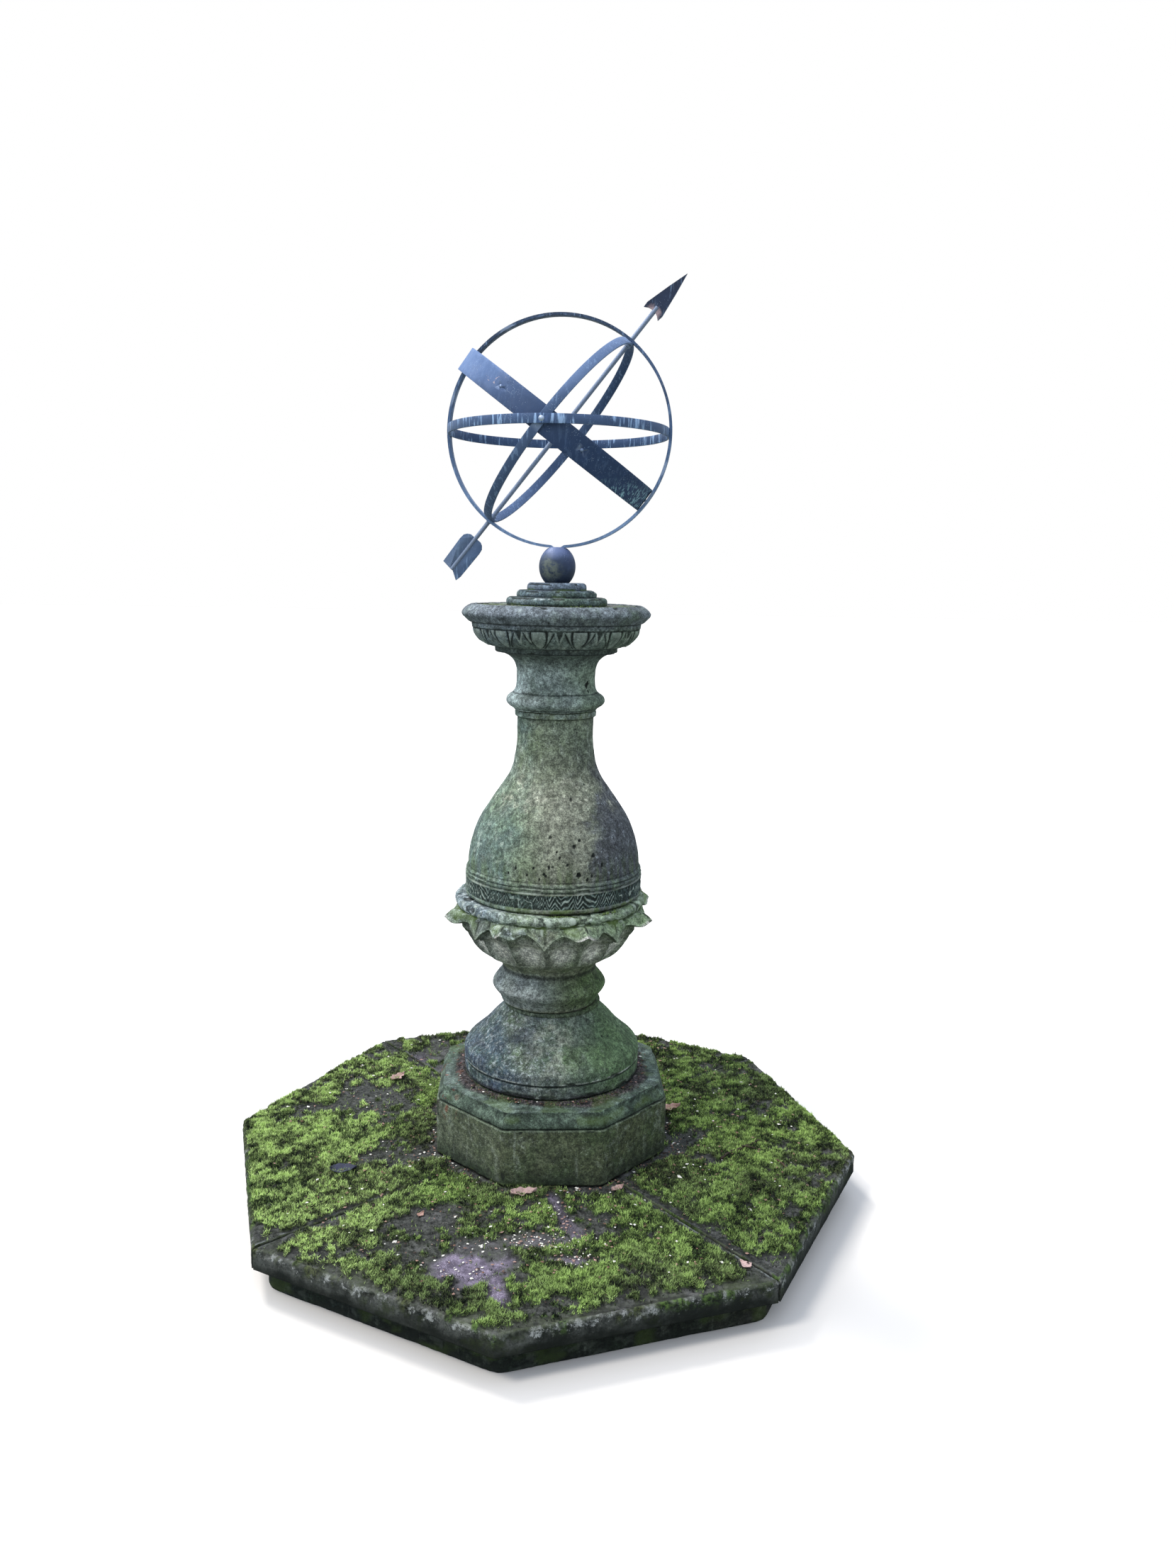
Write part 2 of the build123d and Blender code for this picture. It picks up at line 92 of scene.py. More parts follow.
def cells(p, scale, seed=0):
    """Distance to the nearest jittered point (in cells) and that cell's own random number."""
    q = np.asarray(p, float) * scale
    i = np.floor(q).astype(np.int64)
    best = np.full(q.shape[:-1], 9.0)
    rnd = np.zeros(q.shape[:-1])
    for dx in (-1, 0, 1):
        for dy in (-1, 0, 1):
            for dz in (-1, 0, 1):
                c = i + np.array([dx, dy, dz])
                a, b, d = c[..., 0], c[..., 1], c[..., 2]
                px = a + _h(a, b, d, seed + 1)
                py = b + _h(a, b, d, seed + 2)
                pz = d + _h(a, b, d, seed + 3)
                dist = np.sqrt((q[..., 0] - px) ** 2 + (q[..., 1] - py) ** 2 + (q[..., 2] - pz) ** 2)
                near = dist < best
                best = np.where(near, dist, best)
                rnd = np.where(near, _h(a, b, d, seed + 4), rnd)
    return best, rnd


def smooth(a, b, x):
    t = np.clip((x - a) / (b - a), 0, 1)
    return t * t * (3 - 2 * t)


def bump1(x, w):
    """Smooth bump, 1 at x = 0, 0 beyond w."""
    t = np.clip(1 - (x / w) ** 2, 0, 1)
    return t * t


def wrap(a):
    return (a + np.pi) % (2 * np.pi) - np.pi


def blur(grid, k, wrap_cols=True):
    """Box blur twice over a grid (rows, cols)."""
    g = grid
    for _ in range(2):
        acc = np.zeros_like(g)
        for s in range(-k, k + 1):
            acc += np.roll(g, s, axis=1)
        g = acc / (2 * k + 1)
        pad = np.pad(g, ((k, k), (0, 0)), mode="edge")
        g = sum(pad[i:i + g.shape[0]] for i in range(2 * k + 1)) / (2 * k + 1)
    return g


# ====================================================================== meshes
def make_object(name, verts, faces, attrs=None, uvs=None, smooth_shade=True):
    me = bpy.data.meshes.new(name)
    verts = np.asarray(verts, np.float32)
    faces = np.asarray(faces, object) if isinstance(faces, list) else faces
    if isinstance(faces, np.ndarray) and faces.dtype != object:
        n, k = faces.shape
        me.vertices.add(len(verts))
        me.vertices.foreach_set("co", verts.ravel())
        me.loops.add(n * k)
        me.loops.foreach_set("vertex_index", faces.ravel().astype(np.int32))
        me.polygons.add(n)
        me.polygons.foreach_set("loop_start", np.arange(0, n * k, k, dtype=np.int32))
        me.update(calc_edges=True)
    else:
        me.from_pydata([tuple(v) for v in verts.tolist()], [], [tuple(int(i) for i in f) for f in faces])
    me.validate(verbose=False)
    for key, val in (attrs or {}).items():
        at = me.attributes.new(key, "FLOAT", "POINT")
        at.data.foreach_set("value", np.asarray(val, np.float32).ravel())
    if uvs is not None:
        layer = me.uv_layers.new(name="OFBake")
        layer.data.foreach_set("uv", np.asarray(uvs, np.float32).ravel())
    if smooth_shade:
        me.polygons.foreach_set("use_smooth", np.ones(len(me.polygons), bool))
    ob = bpy.data.objects.new(name, me)
    bpy.context.scene.collection.objects.link(ob)
    return ob


def tube_grid(name, X, Y, Z, attrs=None, loop=False):
    """Closed skin from a grid (rows, cols) that wraps round in columns; the first
    and last rows are closed with fans, or joined to each other when loop is set.  Rows run upwards, columns anticlockwise
    seen from above.  Its bake map is laid out by row and column."""
    nr, nc = X.shape
    verts = np.stack([X.ravel(), Y.ravel(), Z.ravel()], 1)
    j = np.arange(nc)
    jn = (j + 1) % nc
    quads = []
    last = nr if loop else nr - 1
    for i in range(last):
        k = (i + 1) % nr
        quads.append(np.stack([i * nc + j, i * nc + jn, k * nc + jn, k * nc + j], 1))
    quads = np.concatenate(quads)
    fans = []
    if not loop:
        low = np.array([[X[0].mean(), Y[0].mean(), Z[0].mean()]])
        top = np.array([[X[-1].mean(), Y[-1].mean(), Z[-1].mean()]])
        verts = np.vstack([verts, low, top])
        fans = [np.stack([np.full(nc, nr * nc), jn, j], 1),
                np.stack([np.full(nc, nr * nc + 1), (nr - 1) * nc + j, (nr - 1) * nc + jn], 1)]
    me = bpy.data.meshes.new(name)
    me.vertices.add(len(verts))
    me.vertices.foreach_set("co", verts.astype(np.float32).ravel())
    loops = np.concatenate([quads.ravel()] + [f.ravel() for f in fans]).astype(np.int32)
    starts = np.concatenate([np.arange(len(quads)) * 4,
                             len(quads) * 4 + np.arange(len(fans) * nc) * 3]).astype(np.int32)
    me.loops.add(len(loops))
    me.loops.foreach_set("vertex_index", loops)
    me.polygons.add(len(starts))
    me.polygons.foreach_set("loop_start", starts)
    me.update(calc_edges=True)
    # bake map
    u0, u1 = j / nc, (j + 1) / nc
    v = 0.04 + 0.92 * np.arange(last + 1) / last
    uv = []
    for i in range(last):
        uv.append(np.stack([np.stack([u0, np.full(nc, v[i])], 1), np.stack([u1, np.full(nc, v[i])], 1),
                            np.stack([u1, np.full(nc, v[i + 1])], 1),
                            np.stack([u0, np.full(nc, v[i + 1])], 1)], 1).reshape(-1, 2))
    um = (u0 + u1) / 2
    if not loop:
        uv.append(np.stack([np.stack([um, np.full(nc, 0.0)], 1), np.stack([u1, np.full(nc, 0.035)], 1),
                            np.stack([u0, np.full(nc, 0.035)], 1)], 1).reshape(-1, 2))
        uv.append(np.stack([np.stack([um, np.full(nc, 1.0)], 1), np.stack([u0, np.full(nc, 0.965)], 1),
                            np.stack([u1, np.full(nc, 0.965)], 1)], 1).reshape(-1, 2))
    layer = me.uv_layers.new(name="OFBake")
    layer.data.foreach_set("uv", np.concatenate(uv).astype(np.float32).ravel())
    for key, val in (attrs or {}).items():
        val = np.broadcast_to(val, X.shape)
        full = val.ravel() if loop else np.concatenate([val.ravel(), [val[0].mean()], [val[-1].mean()]])
        at = me.attributes.new(key, "FLOAT", "POINT")
        at.data.foreach_set("value", full.astype(np.float32))
    me.polygons.foreach_set("use_smooth", np.ones(len(me.polygons), bool))
    ob = bpy.data.objects.new(name, me)
    bpy.context.scene.collection.objects.link(ob)
    return ob


def catmull(pts, n):
    """Points along a smooth curve through pts, n per span, both ends included."""
    p = np.asarray(pts, float)
    p = np.vstack([2 * p[0] - p[1], p, 2 * p[-1] - p[-2]])
    out = []
    for k in range(1, len(p) - 2):
        p0, p1, p2, p3 = p[k - 1], p[k], p[k + 1], p[k + 2]
        d = [max(np.linalg.norm(b - a) ** 0.5, 1e-9) for a, b in ((p0, p1), (p1, p2), (p2, p3))]
        t0, t1 = 0.0, d[0]
        t2 = t1 + d[1]
        t3 = t2 + d[2]
        t = np.linspace(t1, t2, n, endpoint=False)[:, None]
        a1 = (t1 - t) / (t1 - t0) * p0 + (t - t0) / (t1 - t0) * p1
        a2 = (t2 - t) / (t2 - t1) * p1 + (t - t1) / (t2 - t1) * p2
        a3 = (t3 - t) / (t3 - t2) * p2 + (t - t2) / (t3 - t2) * p3
        b1 = (t2 - t) / (t2 - t0) * a1 + (t - t0) / (t2 - t0) * a2
        b2 = (t3 - t) / (t3 - t1) * a2 + (t - t1) / (t3 - t1) * a3
        out.append((t2 - t) / (t2 - t1) * b1 + (t - t1) / (t2 - t1) * b2)
    out.append(p[-2][None])
    return np.concatenate(out)


def section(runs, step):
    """Dense (r, z) points in metres from runs like the CAD's: ('line'|'curve', points in mm)
    with z measured from the paving; step is the target spacing in mm."""
    dense, last = [], None
    for run in runs:
        kind, pts = run[0], run[1]
        st = run[2] if len(run) > 2 else step
        pts = ([last] if last else []) + list(pts)
        last = pts[-1]
        if kind == "curve":
            c = catmull(pts, 12)
        else:
            c = np.array(pts, float)
        seg = np.linalg.norm(np.diff(c, axis=0), axis=1)
        s = np.concatenate([[0], np.cumsum(seg)])
        if kind == "curve":
            m = max(2, int(round(s[-1] / st)))
            q = np.linspace(0, s[-1], m + 1)
        else:
            q = [0.0]
            for k in range(len(seg)):
                m = max(1, int(round(seg[k] / st)))
                q += list(s[k] + seg[k] * np.arange(1, m + 1) / m)
            q = np.array(q)
        d = np.stack([np.interp(q, s, c[:, 0]), np.interp(q, s, c[:, 1])], 1)
        dense.append(d if not dense else d[1:])
    d = np.concatenate(dense)
    out = d * MM
    out[:, 1] += G
    return out


def normals_of(prof):
    t = np.gradient(prof, axis=0)
    n = np.stack([t[:, 1], -t[:, 0]], 1)
    return n / np.maximum(np.linalg.norm(n, axis=1)[:, None], 1e-9)


def turned(name, runs, step, ncol, relief, cx=0.0, loop=False):
    """A turned stone with relief along its normal.  relief(theta, P, R, Z) gives the height
    field in metres, further point values, and optional outward and upward shifts."""
    prof = section(runs, step)
    nrm = normals_of(prof)
    for _ in range(2):
        nrm[1:-1] = (nrm[:-2] + 2 * nrm[1:-1] + nrm[2:]) / 4
    nrm /= np.linalg.norm(nrm, axis=1)[:, None]
    th = np.linspace(-np.pi, np.pi, ncol, endpoint=False)
    T = np.broadcast_to(th, (len(prof), ncol))
    R = np.broadcast_to(prof[:, :1], T.shape)
    Z = np.broadcast_to(prof[:, 1:], T.shape)
    P = np.stack([R * np.sin(T + CAM) + cx, -R * np.cos(T + CAM), Z], -1)
    h, extra, dr, dz = relief(T, P, R, Z)
    # no relief on the end rows, which lie inside the joints
    edge = np.minimum(np.arange(len(prof)), np.arange(len(prof))[::-1])[:, None]
    fade = np.clip(edge / 2.0, 0, 1)
    h = h * fade
    R2 = R + h * nrm[:, :1]
    Z2 = Z + h * nrm[:, 1:]
    if dr is not None:
        R2 = R2 + dr * fade
    if dz is not None:
        Z2 = Z2 + dz * fade
    X, Y = R2 * np.sin(T + CAM) + cx, -R2 * np.cos(T + CAM)
    cav = h - blur(h, 5)
    attrs = {"cav": cav / MM}
    attrs.update(extra)
    return tube_grid(name, X, Y, Z2, attrs, loop)


# ====================================================================== materials
class Mat:
    """A small helper for node materials."""

    def __init__(self, name):
        self.m = bpy.data.materials.new(name)
        self.m.use_nodes = True
        self.t = self.m.node_tree
        self.t.nodes.clear()
        self.out = self.t.nodes.new("ShaderNodeOutputMaterial")
        self.b = self.t.nodes.new("ShaderNodeBsdfPrincipled")
        self.t.links.new(self.b.outputs["BSDF"], self.out.inputs["Surface"])
        tc = self.t.nodes.new("ShaderNodeTexCoord")
        self.obj = tc.outputs["Object"]
        geo = self.t.nodes.new("ShaderNodeNewGeometry")
        self.normal = geo.outputs["Normal"]
        self.point = geo.outputs["Pointiness"]

    def put(self, sock, val):
        if isinstance(val, bpy.types.NodeSocket):
            self.t.links.new(val, sock)
        elif isinstance(val, (tuple, list)):
            if len(val) == 3 and len(sock.default_value) == 4:
                val = (*val, 1.0)
            sock.default_value = val
        else:
            sock.default_value = val

    def noise(self, scale, detail=4.0, rough=0.55, vec=None, dist=0.0, seed=0.0):
        n = self.t.nodes.new("ShaderNodeTexNoise")
        n.noise_dimensions = "4D"
        self.put(n.inputs["Vector"], vec or self.obj)
        n.inputs["W"].default_value = seed
        n.inputs["Scale"].default_value = scale
        n.inputs["Detail"].default_value = detail
        n.inputs["Roughness"].default_value = rough
        n.inputs["Distortion"].default_value = dist
        return n.outputs["Fac"]

    def voronoi(self, scale, feature="F1", vec=None, rand=1.0):
        n = self.t.nodes.new("ShaderNodeTexVoronoi")
        n.feature = feature
        self.put(n.inputs["Vector"], vec or self.obj)
        n.inputs["Scale"].default_value = scale
        n.inputs["Randomness"].default_value = rand
        return n.outputs["Distance"]

    def cellcolor(self, scale, vec=None):
        n = self.t.nodes.new("ShaderNodeTexVoronoi")
        self.put(n.inputs["Vector"], vec or self.obj)
        n.inputs["Scale"].default_value = scale
        return n.outputs["Color"]

    def attr(self, name):
        n = self.t.nodes.new("ShaderNodeAttribute")
        n.attribute_name = name
        return n.outputs["Fac"]

    def ramp(self, fac, lo, hi, a=0.0, b=1.0):
        """Smooth step from a to b as fac goes from lo to hi."""
        n = self.t.nodes.new("ShaderNodeMapRange")
        n.interpolation_type = "SMOOTHSTEP"
        self.put(n.inputs["Value"], fac)
        n.inputs["From Min"].default_value = lo
        n.inputs["From Max"].default_value = hi
        n.inputs["To Min"].default_value = a
        n.inputs["To Max"].default_value = b
        return n.outputs["Result"]

    def math(self, op, a, b=0.0):
        n = self.t.nodes.new("ShaderNodeMath")
        n.operation = op
        self.put(n.inputs[0], a)
        self.put(n.inputs[1], b)
        return n.outputs[0]

    def mul(self, *xs):
        r = xs[0]
        for x in xs[1:]:
            r = self.math("MULTIPLY", r, x)
        return r

    def add(self, a, b):
        return self.math("ADD", a, b)

    def mix(self, fac, a, b, mode="MIX"):
        n = self.t.nodes.new("ShaderNodeMix")
        n.data_type = "RGBA"
        n.blend_type = mode
        self.put(n.inputs[0], fac)
        self.put(n.inputs[6], a)
        self.put(n.inputs[7], b)
        return n.outputs[2]

    def sep(self, vec=None):
        n = self.t.nodes.new("ShaderNodeSeparateXYZ")
        self.put(n.inputs[0], vec or self.obj)
        return n.outputs[0], n.outputs[1], n.outputs[2]

    def scaled(self, sx, sy, sz, rot=(0, 0, 0)):
        n = self.t.nodes.new("ShaderNodeMapping")
        self.put(n.inputs["Vector"], self.obj)
        n.inputs["Scale"].default_value = (sx, sy, sz)
        n.inputs["Rotation"].default_value = rot
        return n.outputs[0]

    def bump(self, height, strength=0.5, distance=0.002, prev=None):
        n = self.t.nodes.new("ShaderNodeBump")
        n.inputs["Strength"].default_value = strength
        n.inputs["Distance"].default_value = distance
        self.put(n.inputs["Height"], height)
        if prev is not None:
            self.put(n.inputs["Normal"], prev)
        return n.outputs[0]

    def done(self, color, rough, metal=0.0, normal=None, spec=None):
        self.put(self.b.inputs["Base Color"], color)
        self.put(self.b.inputs["Roughness"], rough)
        self.put(self.b.inputs["Metallic"], metal)
        if normal is not None:
            self.put(self.b.inputs["Normal"], normal)
        if spec is not None:
            self.put(self.b.inputs["Specular IOR Level"], spec)
        return self.m


def srgb(r, g, b):
    def f(c):
        c = c / 255.0
        return c / 12.92 if c <= 0.04045 else ((c + 0.055) / 1.055) ** 2.4
    return (f(r), f(g), f(b))


def set_slots(node, mat):
    o = frame["nodes"][node]
    if not o.material_slots:
        o.data.materials.append(mat)
    for s in o.material_slots:
        s.material = mat


# ====================================================================== stone finish
PALE = srgb(196, 204, 188)


def stone(name, left, mid, right, half=0.2, cx=0.0, pale=0.35, green=0.35, streaks=0.35,
          pits=0.6, grain=0.78, edge=0.5, greencol=srgb(78, 100, 48), darkcol=srgb(44, 48, 46),
          palecol=PALE, seed=0.0, wob=1.5, extra=None, late=None, rough=0.86, mossy=0.0):
    """Weathered cast stone.  left, mid and right are the tints across the piece."""
    k = Mat(name)
    x, y, z = k.sep()
    warp = k.noise(7.0, 4.0, 0.6, seed=seed + 1)
    t = k.math("ADD", k.math("DIVIDE", k.math("SUBTRACT", x, cx), half),
               k.mul(k.math("SUBTRACT", warp, 0.5), wob * 1.7))
    col = k.mix(k.ramp(t, -0.85, -0.1), left, mid)
    col = k.mix(k.ramp(t, 0.05, 0.85), col, right)
    # broad staining
    n1 = k.noise(15.0, 7.0, 0.62, seed=seed + 2)
    col = k.mix(k.mul(k.ramp(n1, 0.50, 0.74), 0.62), col, darkcol)
    # green algae, more where the stone faces up
    nz = k.sep(k.normal)[2]
    g = k.noise(11.0, 6.0, 0.6, seed=seed + 3)
    gm = k.add(k.ramp(g, 0.44, 0.66), k.mul(k.ramp(nz, 0.15, 0.8), 0.45))
    col = k.mix(k.mul(gm, green), col, greencol)
    # runs of stain down the stone
    sn = k.noise(1.0, 6.0, 0.62, vec=k.scaled(34, 34, 3.2), seed=seed + 4)
    col = k.mix(k.mul(k.ramp(sn, 0.53, 0.72), streaks), col, darkcol)
    sn2 = k.noise(1.0, 5.0, 0.6, vec=k.scaled(48, 48, 4.5), seed=seed + 5)
    col = k.mix(k.mul(k.ramp(sn2, 0.56, 0.72), streaks * 0.8), col, palecol)
    # lichen bloom and fine speckle
    n2 = k.noise(46.0, 8.0, 0.72, seed=seed + 6)
    pm = k.ramp(k.noise(9.0, 4.0, 0.6, seed=seed + 7), 0.36, 0.62)
    col = k.mix(k.mul(k.ramp(n2, 0.5, 0.66), pm, pale), col, palecol)
    sp = k.ramp(k.voronoi(210.0), 0.24, 0.10)
    spm = k.ramp(k.noise(30.0, 4.0, 0.6, seed=seed + 8), 0.48, 0.60)
    col = k.mix(k.mul(sp, spm, min(1.0, pale * 1.3)), col, palecol)
    if extra:
        col = extra(k, col)
    # grain
    fine = k.noise(300.0, 6.0, 0.75, seed=seed + 9)
    fg = k.ramp(fine, 0.38, 0.62, 1.0 - 0.62 * grain, 1.0 + 0.62 * grain)
    mid_n = k.noise(105.0, 7.0, 0.74, seed=seed + 10)
    mg = k.ramp(mid_n, 0.40, 0.60, 1.0 - 0.52 * grain, 1.0 + 0.52 * grain)
    blot = k.noise(38.0, 5.0, 0.68, seed=seed + 13)
    bg = k.ramp(blot, 0.40, 0.62, 1.0 - 0.34 * grain, 1.0 + 0.30 * grain)
    bright = k.mul(fg, mg, bg)
    comb = k.t.nodes.new("ShaderNodeCombineXYZ")
    for i in range(3):
        k.put(comb.inputs[i], bright)
    col = k.mix(1.0, col, comb.outputs[0], "MULTIPLY")
    # black pits
    pv = k.ramp(k.voronoi(120.0), 0.17, 0.09)
    pvm = k.ramp(k.noise(24.0, 3.0, 0.5, seed=seed + 11), 0.56, 0.64)
    pit = k.mul(pv, pvm, pits)
    col = k.mix(pit, col, srgb(26, 28, 28))
    # painted shade in the hollows, painted highlight on the arrises
    cav = k.attr("cav")
    col = k.mix(k.mul(k.ramp(cav, -0.15, -1.1), 0.85), col, srgb(30, 34, 28))
    col = k.mix(k.mul(k.ramp(cav, 0.15, 1.1), edge), col, palecol)
    if mossy:
        mo = k.mul(k.attr("moss"), mossy)
        mcol = k.mix(k.noise(70.0, 6.0, 0.7, seed=seed + 12), srgb(38, 52, 20), srgb(112, 138, 46))
        col = k.mix(mo, col, mcol)
    if late:
        col = late(k, col)
    b = k.bump(mid_n, 0.75, 0.0040)
    b = k.bump(fine, 0.60, 0.0014, b)
    b = k.bump(k.math("MULTIPLY", pit, -1.0), 0.7, 0.002, b)
    rg = k.ramp(n2, 0.3, 0.7, rough - 0.06, rough + 0.08)
    return k.done(col, rg, 0.0, b, 0.28)


def lumps(P, seed, amp=1.0):
    """General weathering of cast stone, metres."""
    return amp * MM * (0.85 * fbm(P, 9.0, 3, 0.5, seed) + 0.45 * fbm(P, 42.0, 3, 0.55, seed + 5)
                       + 0.22 * fbm(P, 170.0, 2, 0.6, seed + 9))


def pitted(P, seed, scale=60.0, cut=0.74, depth=2.0):
    d, rnd = cells(P, scale, seed)
    size = 0.12 + 0.20 * (rnd - cut) / (1 - cut)
    return -depth * MM * np.where(rnd > cut, smooth(size, size * 0.45, d), 0.0)


def rel(Z):
    """Height above the paving in mm."""
    return (Z - G) / MM


# ---------------------------------------------------------------------- bell
def bell_relief(T, P, R, Z):
    z = rel(Z)
    flat = bump1(z - 354, 9) * 0.6
    h = lumps(P, 11, 0.9) * (1 - flat) + pitted(P, 12, 70, 0.86, 1.6) * (z < 340)
    # bruises along the top edge of the disc
    chip = smooth(0.30, 0.62, fbm(P, 24.0, 3, 0.5, 13)) * bump1(z - 223, 6)
    h = h - 1.8 * MM * chip
    # worn, dented foot at the front
    h = h - 1.8 * MM * smooth(0.1, 0.6, fbm(P, 30.0, 2, 0.5, 14)) * bump1(z - 190, 9)
    return h, {}, None, None


BELL = [("line", [(60, 185), (200, 185)], 70),
        ("line", [(213, 185), (216, 188), (216.5, 213.5), (216, 214.6), (212.4, 215.6), (212.4, 219.4), (216.4, 220.6), (217.2, 222), (217, 238)], 1.5),
        ("curve", [(216, 243), (213.5, 248), (209.3, 253), (197.5, 263), (186, 273), (165.5, 293),
                   (147.9, 313), (128.4, 333), (120.7, 341), (116.5, 347)], 2.3),
        ("line", [(116.5, 349), (118.5, 351), (118.5, 357), (117, 358), (108, 358)], 1.6),
        ("line", [(30, 358)], 40)]

# ---------------------------------------------------------------------- calyx
CALYX = [("line", [(30, 360), (106, 360)], 40),
         ("line", [(114, 360), (117.2, 363)], 2.2),
         ("curve", [(121, 373), (126.9, 383), (134.9, 393), (139.5, 403), (136.2, 411), (128.5, 422),
                    (118.8, 434), (114.8, 445)], 2.8),
         ("curve", [(117, 455), (122.8, 463), (134.7, 473), (151.1, 483), (168.2, 493), (183.3, 508),
                    (194.4, 523), (204.2, 538), (209, 548)], 2.0),
         ("curve", [(224, 560), (238, 575), (243, 590), (238, 597), (230, 603), (221.5, 606.5)], 1.3),
         ("curve", [(227.0, 610), (230, 617), (229, 624), (225, 628.5), (219, 630)], 1.8),
         ("line", [(209, 630)], 2.5), ("line", [(60, 630)], 60)]
LEAF = [math.radians(20 + 45 * k) for k in range(8)]
LOBE = [math.radians(-2.5 + 45 * k) for k in range(8)]
NICHE = [math.radians(-13.75 + 22.5 * k) for k in range(16)]


def nearest(T, centres):
    d = np.full(T.shape, 9.0)
    for c in centres:
        w = wrap(T - c)
        d = np.where(np.abs(w) < np.abs(d), w, d)
    return d


def calyx_relief(T, P, R, Z):
    z, r = rel(Z), R / MM
    wig = 0.020 * fbm(P, 12.0, 2, 0.5, 21)
    dn = np.degrees(nearest(T + wig, NICHE))
    dl = np.degrees(nearest(T + wig, LEAF))
    do = np.degrees(nearest(T + wig, LOBE))
    # scooped hollows, rounded below and running up under the leaves, with a crisp rib between
    a = np.clip(np.abs(dn) / 11.25, 0, 1)
    b = np.clip((534 - z) / 50, 0, 1)
    scoop = np.clip(1 - a ** 2.6 - b ** 2.2, 0, 1) ** 0.7
    deep = -14.0 * scoop * (z > 470) + 1.2 * smooth(0.84, 1.0, a) * smooth(478, 500, z)
    # hanging edge of the leaves: arches over the hollows, cusps at the ribs, long points at the big leaves
    tip = np.clip(1 - np.abs(dl) / 13.0, 0, 1)
    lob = np.clip(1 - np.abs(do) / 11.25, 0, 1)
    rag = fbm(P, 30.0, 2, 0.5, 22)
    re = 227.0 + 41.0 * tip ** 0.95 + 10.0 * lob + 1.8 * rag
    cusp = a ** 2.1
    at_leaf = smooth(-2.0, 2.0, np.abs(do) - np.abs(dl))
    ze = 589.0 - 34.0 * cusp * (1 - at_leaf) + at_leaf * (4.5 * a ** 3 - 9.0 * bump1(a - 0.55, 0.5)) + 1.6 * fbm(P, 22.0, 2, 0.5, 25)
    t1 = np.clip((z - 551) / 39.0, 0, 1)
    t2 = np.clip((z - 590) / 16.5, 0, 1)
    r_in = np.minimum(r, 222.0) + deep
    out = smooth(0.50, 1.0, t1) ** 0.9
    r_low = r_in + (re - r_in) * out
    z_low = 551 + (ze - 551) * np.interp(t1, [0, 0.50, 0.8, 1], [0, 0.84, 0.93, 1])
    crest = np.sin(np.pi * np.clip(t2, 0, 1))
    r_up = re + (221.5 - re) * t2 + 2.0 * crest * (0.4 + tip)
    z_up = ze + (606.5 - ze) * t2 ** 0.9 + (2.5 + 6.5 * tip) * crest
    low = (z >= 551) & (z < 590)
    up = (z >= 590) & (z < 606.5)
    skirt = (z > 440) & (z < 590)
    dr = np.where(low, r_low - r, np.where(up, r_up - r, np.where(skirt, deep, 0.0))) * MM
    dz = np.where(low, z_low - z, np.where(up, z_up - z, 0.0)) * MM
    # laps and veins on the upper faces
    upper = smooth(0.06, 0.25, t2) * smooth(1.0, 0.8, t2) * up
    h = -upper * MM * (0.9 * bump1(np.abs(dl) - 13.0, 2.4) + 1.2 * bump1(dl, 1.2) + 0.9 * bump1(do, 1.2))
    h = h + upper * MM * 0.9 * fbm(P, 70.0, 2, 0.55, 30)
    # thin lips stay crisp, the rest is lumpy
    rim = smooth(606.8, 609, z)
    h = h + rim * (z < 631) * MM * (0.7 * fbm(P, 20.0, 2, 0.5, 23) + 0.8 * fbm(P, 75.0, 2, 0.5, 24)
                                    - 2.0 * smooth(0.25, 0.6, fbm(P, 30.0, 2, 0.5, 28)))
    h = h + lumps(P, 26, 0.7) * np.where(low | up, 0.45, 1.0)
    knob = smooth(455, 440, z)
    h = h + knob * pitted(P, 27, 75, 0.85, 1.4)
    crev = bump1(z - 607, 5)
    edge_ = bump1(t1 - 1.0, 0.30) * low + bump1(t2, 0.16) * up
    chip = edge_ * smooth(0.40, 0.85, tip + 0.5 * lob ** 2) * smooth(-0.3, 0.1, fbm(P, 34.0, 2, 0.5, 28))
    # painted light: a highlight in the middle of each hollow and along the leaf edges, shade along the ribs and under
    # the hanging leaves
    highlight_spot = np.exp(-((dn / 7.8) ** 2 + ((z - 528 - 6 * rag) / 28.0) ** 2) ** 1.3) * (z < 575)
    attrs = {"niche_highlight": highlight_spot, "shade": np.clip(scoop * 1.3, 0, 1) * smooth(524, 556, z) * (1 - smooth(0.75, 0.95, t1)) * (~up), "lip_highlight": np.clip(edge_, 0, 1),
             "rimroll": rim, "chip": np.clip(chip, 0, 1), "rib_shade": smooth(0.70, 0.98, a) * smooth(474, 500, z) * (z < 570) * (t1 < 0.6), "under": smooth(0.55, 0.8, t1) * low * 1.0,
             "moss": smooth(0.0, 0.5, fbm(P, 30.0, 3, 0.5, 29)) * np.clip(crev + upper * 0.5, 0, 1)}
    return h, attrs, dr, dz


# ---------------------------------------------------------------------- shaft
SHAFT = [("line", [(60, 634), (196, 634)], 60),
         ("line", [(209, 634), (212.3, 637), (213.4, 642), (213.6, 680), (210.5, 682), (210.5, 683.5)], 1.5),
         ("curve", [(212.7, 687), (212, 691), (209.6, 692.5)], 1.4),
         ("curve", [(211.3, 696), (210, 700), (207.2, 702)], 1.4),
         ("line", [(206.4, 706)], 2.0),
         ("curve", [(205.6, 728), (203.1, 743), (197.5, 768), (190.8, 789), (182.3, 809), (171.9, 829),
                    (158.7, 849), (145.5, 869), (131.8, 889), (117.8, 909), (106.4, 929), (98.8, 949),
                    (94.9, 969), (92.2, 989), (90.4, 1009), (90.6, 1034), (90.6, 1062)], 4.2),
         ("line", [(93.4, 1063.5), (96.0, 1065.5), (96.6, 1074.5), (95.6, 1077)], 1.6),
         ("line", [(88, 1077)], 3), ("line", [(30, 1077)], 40)]
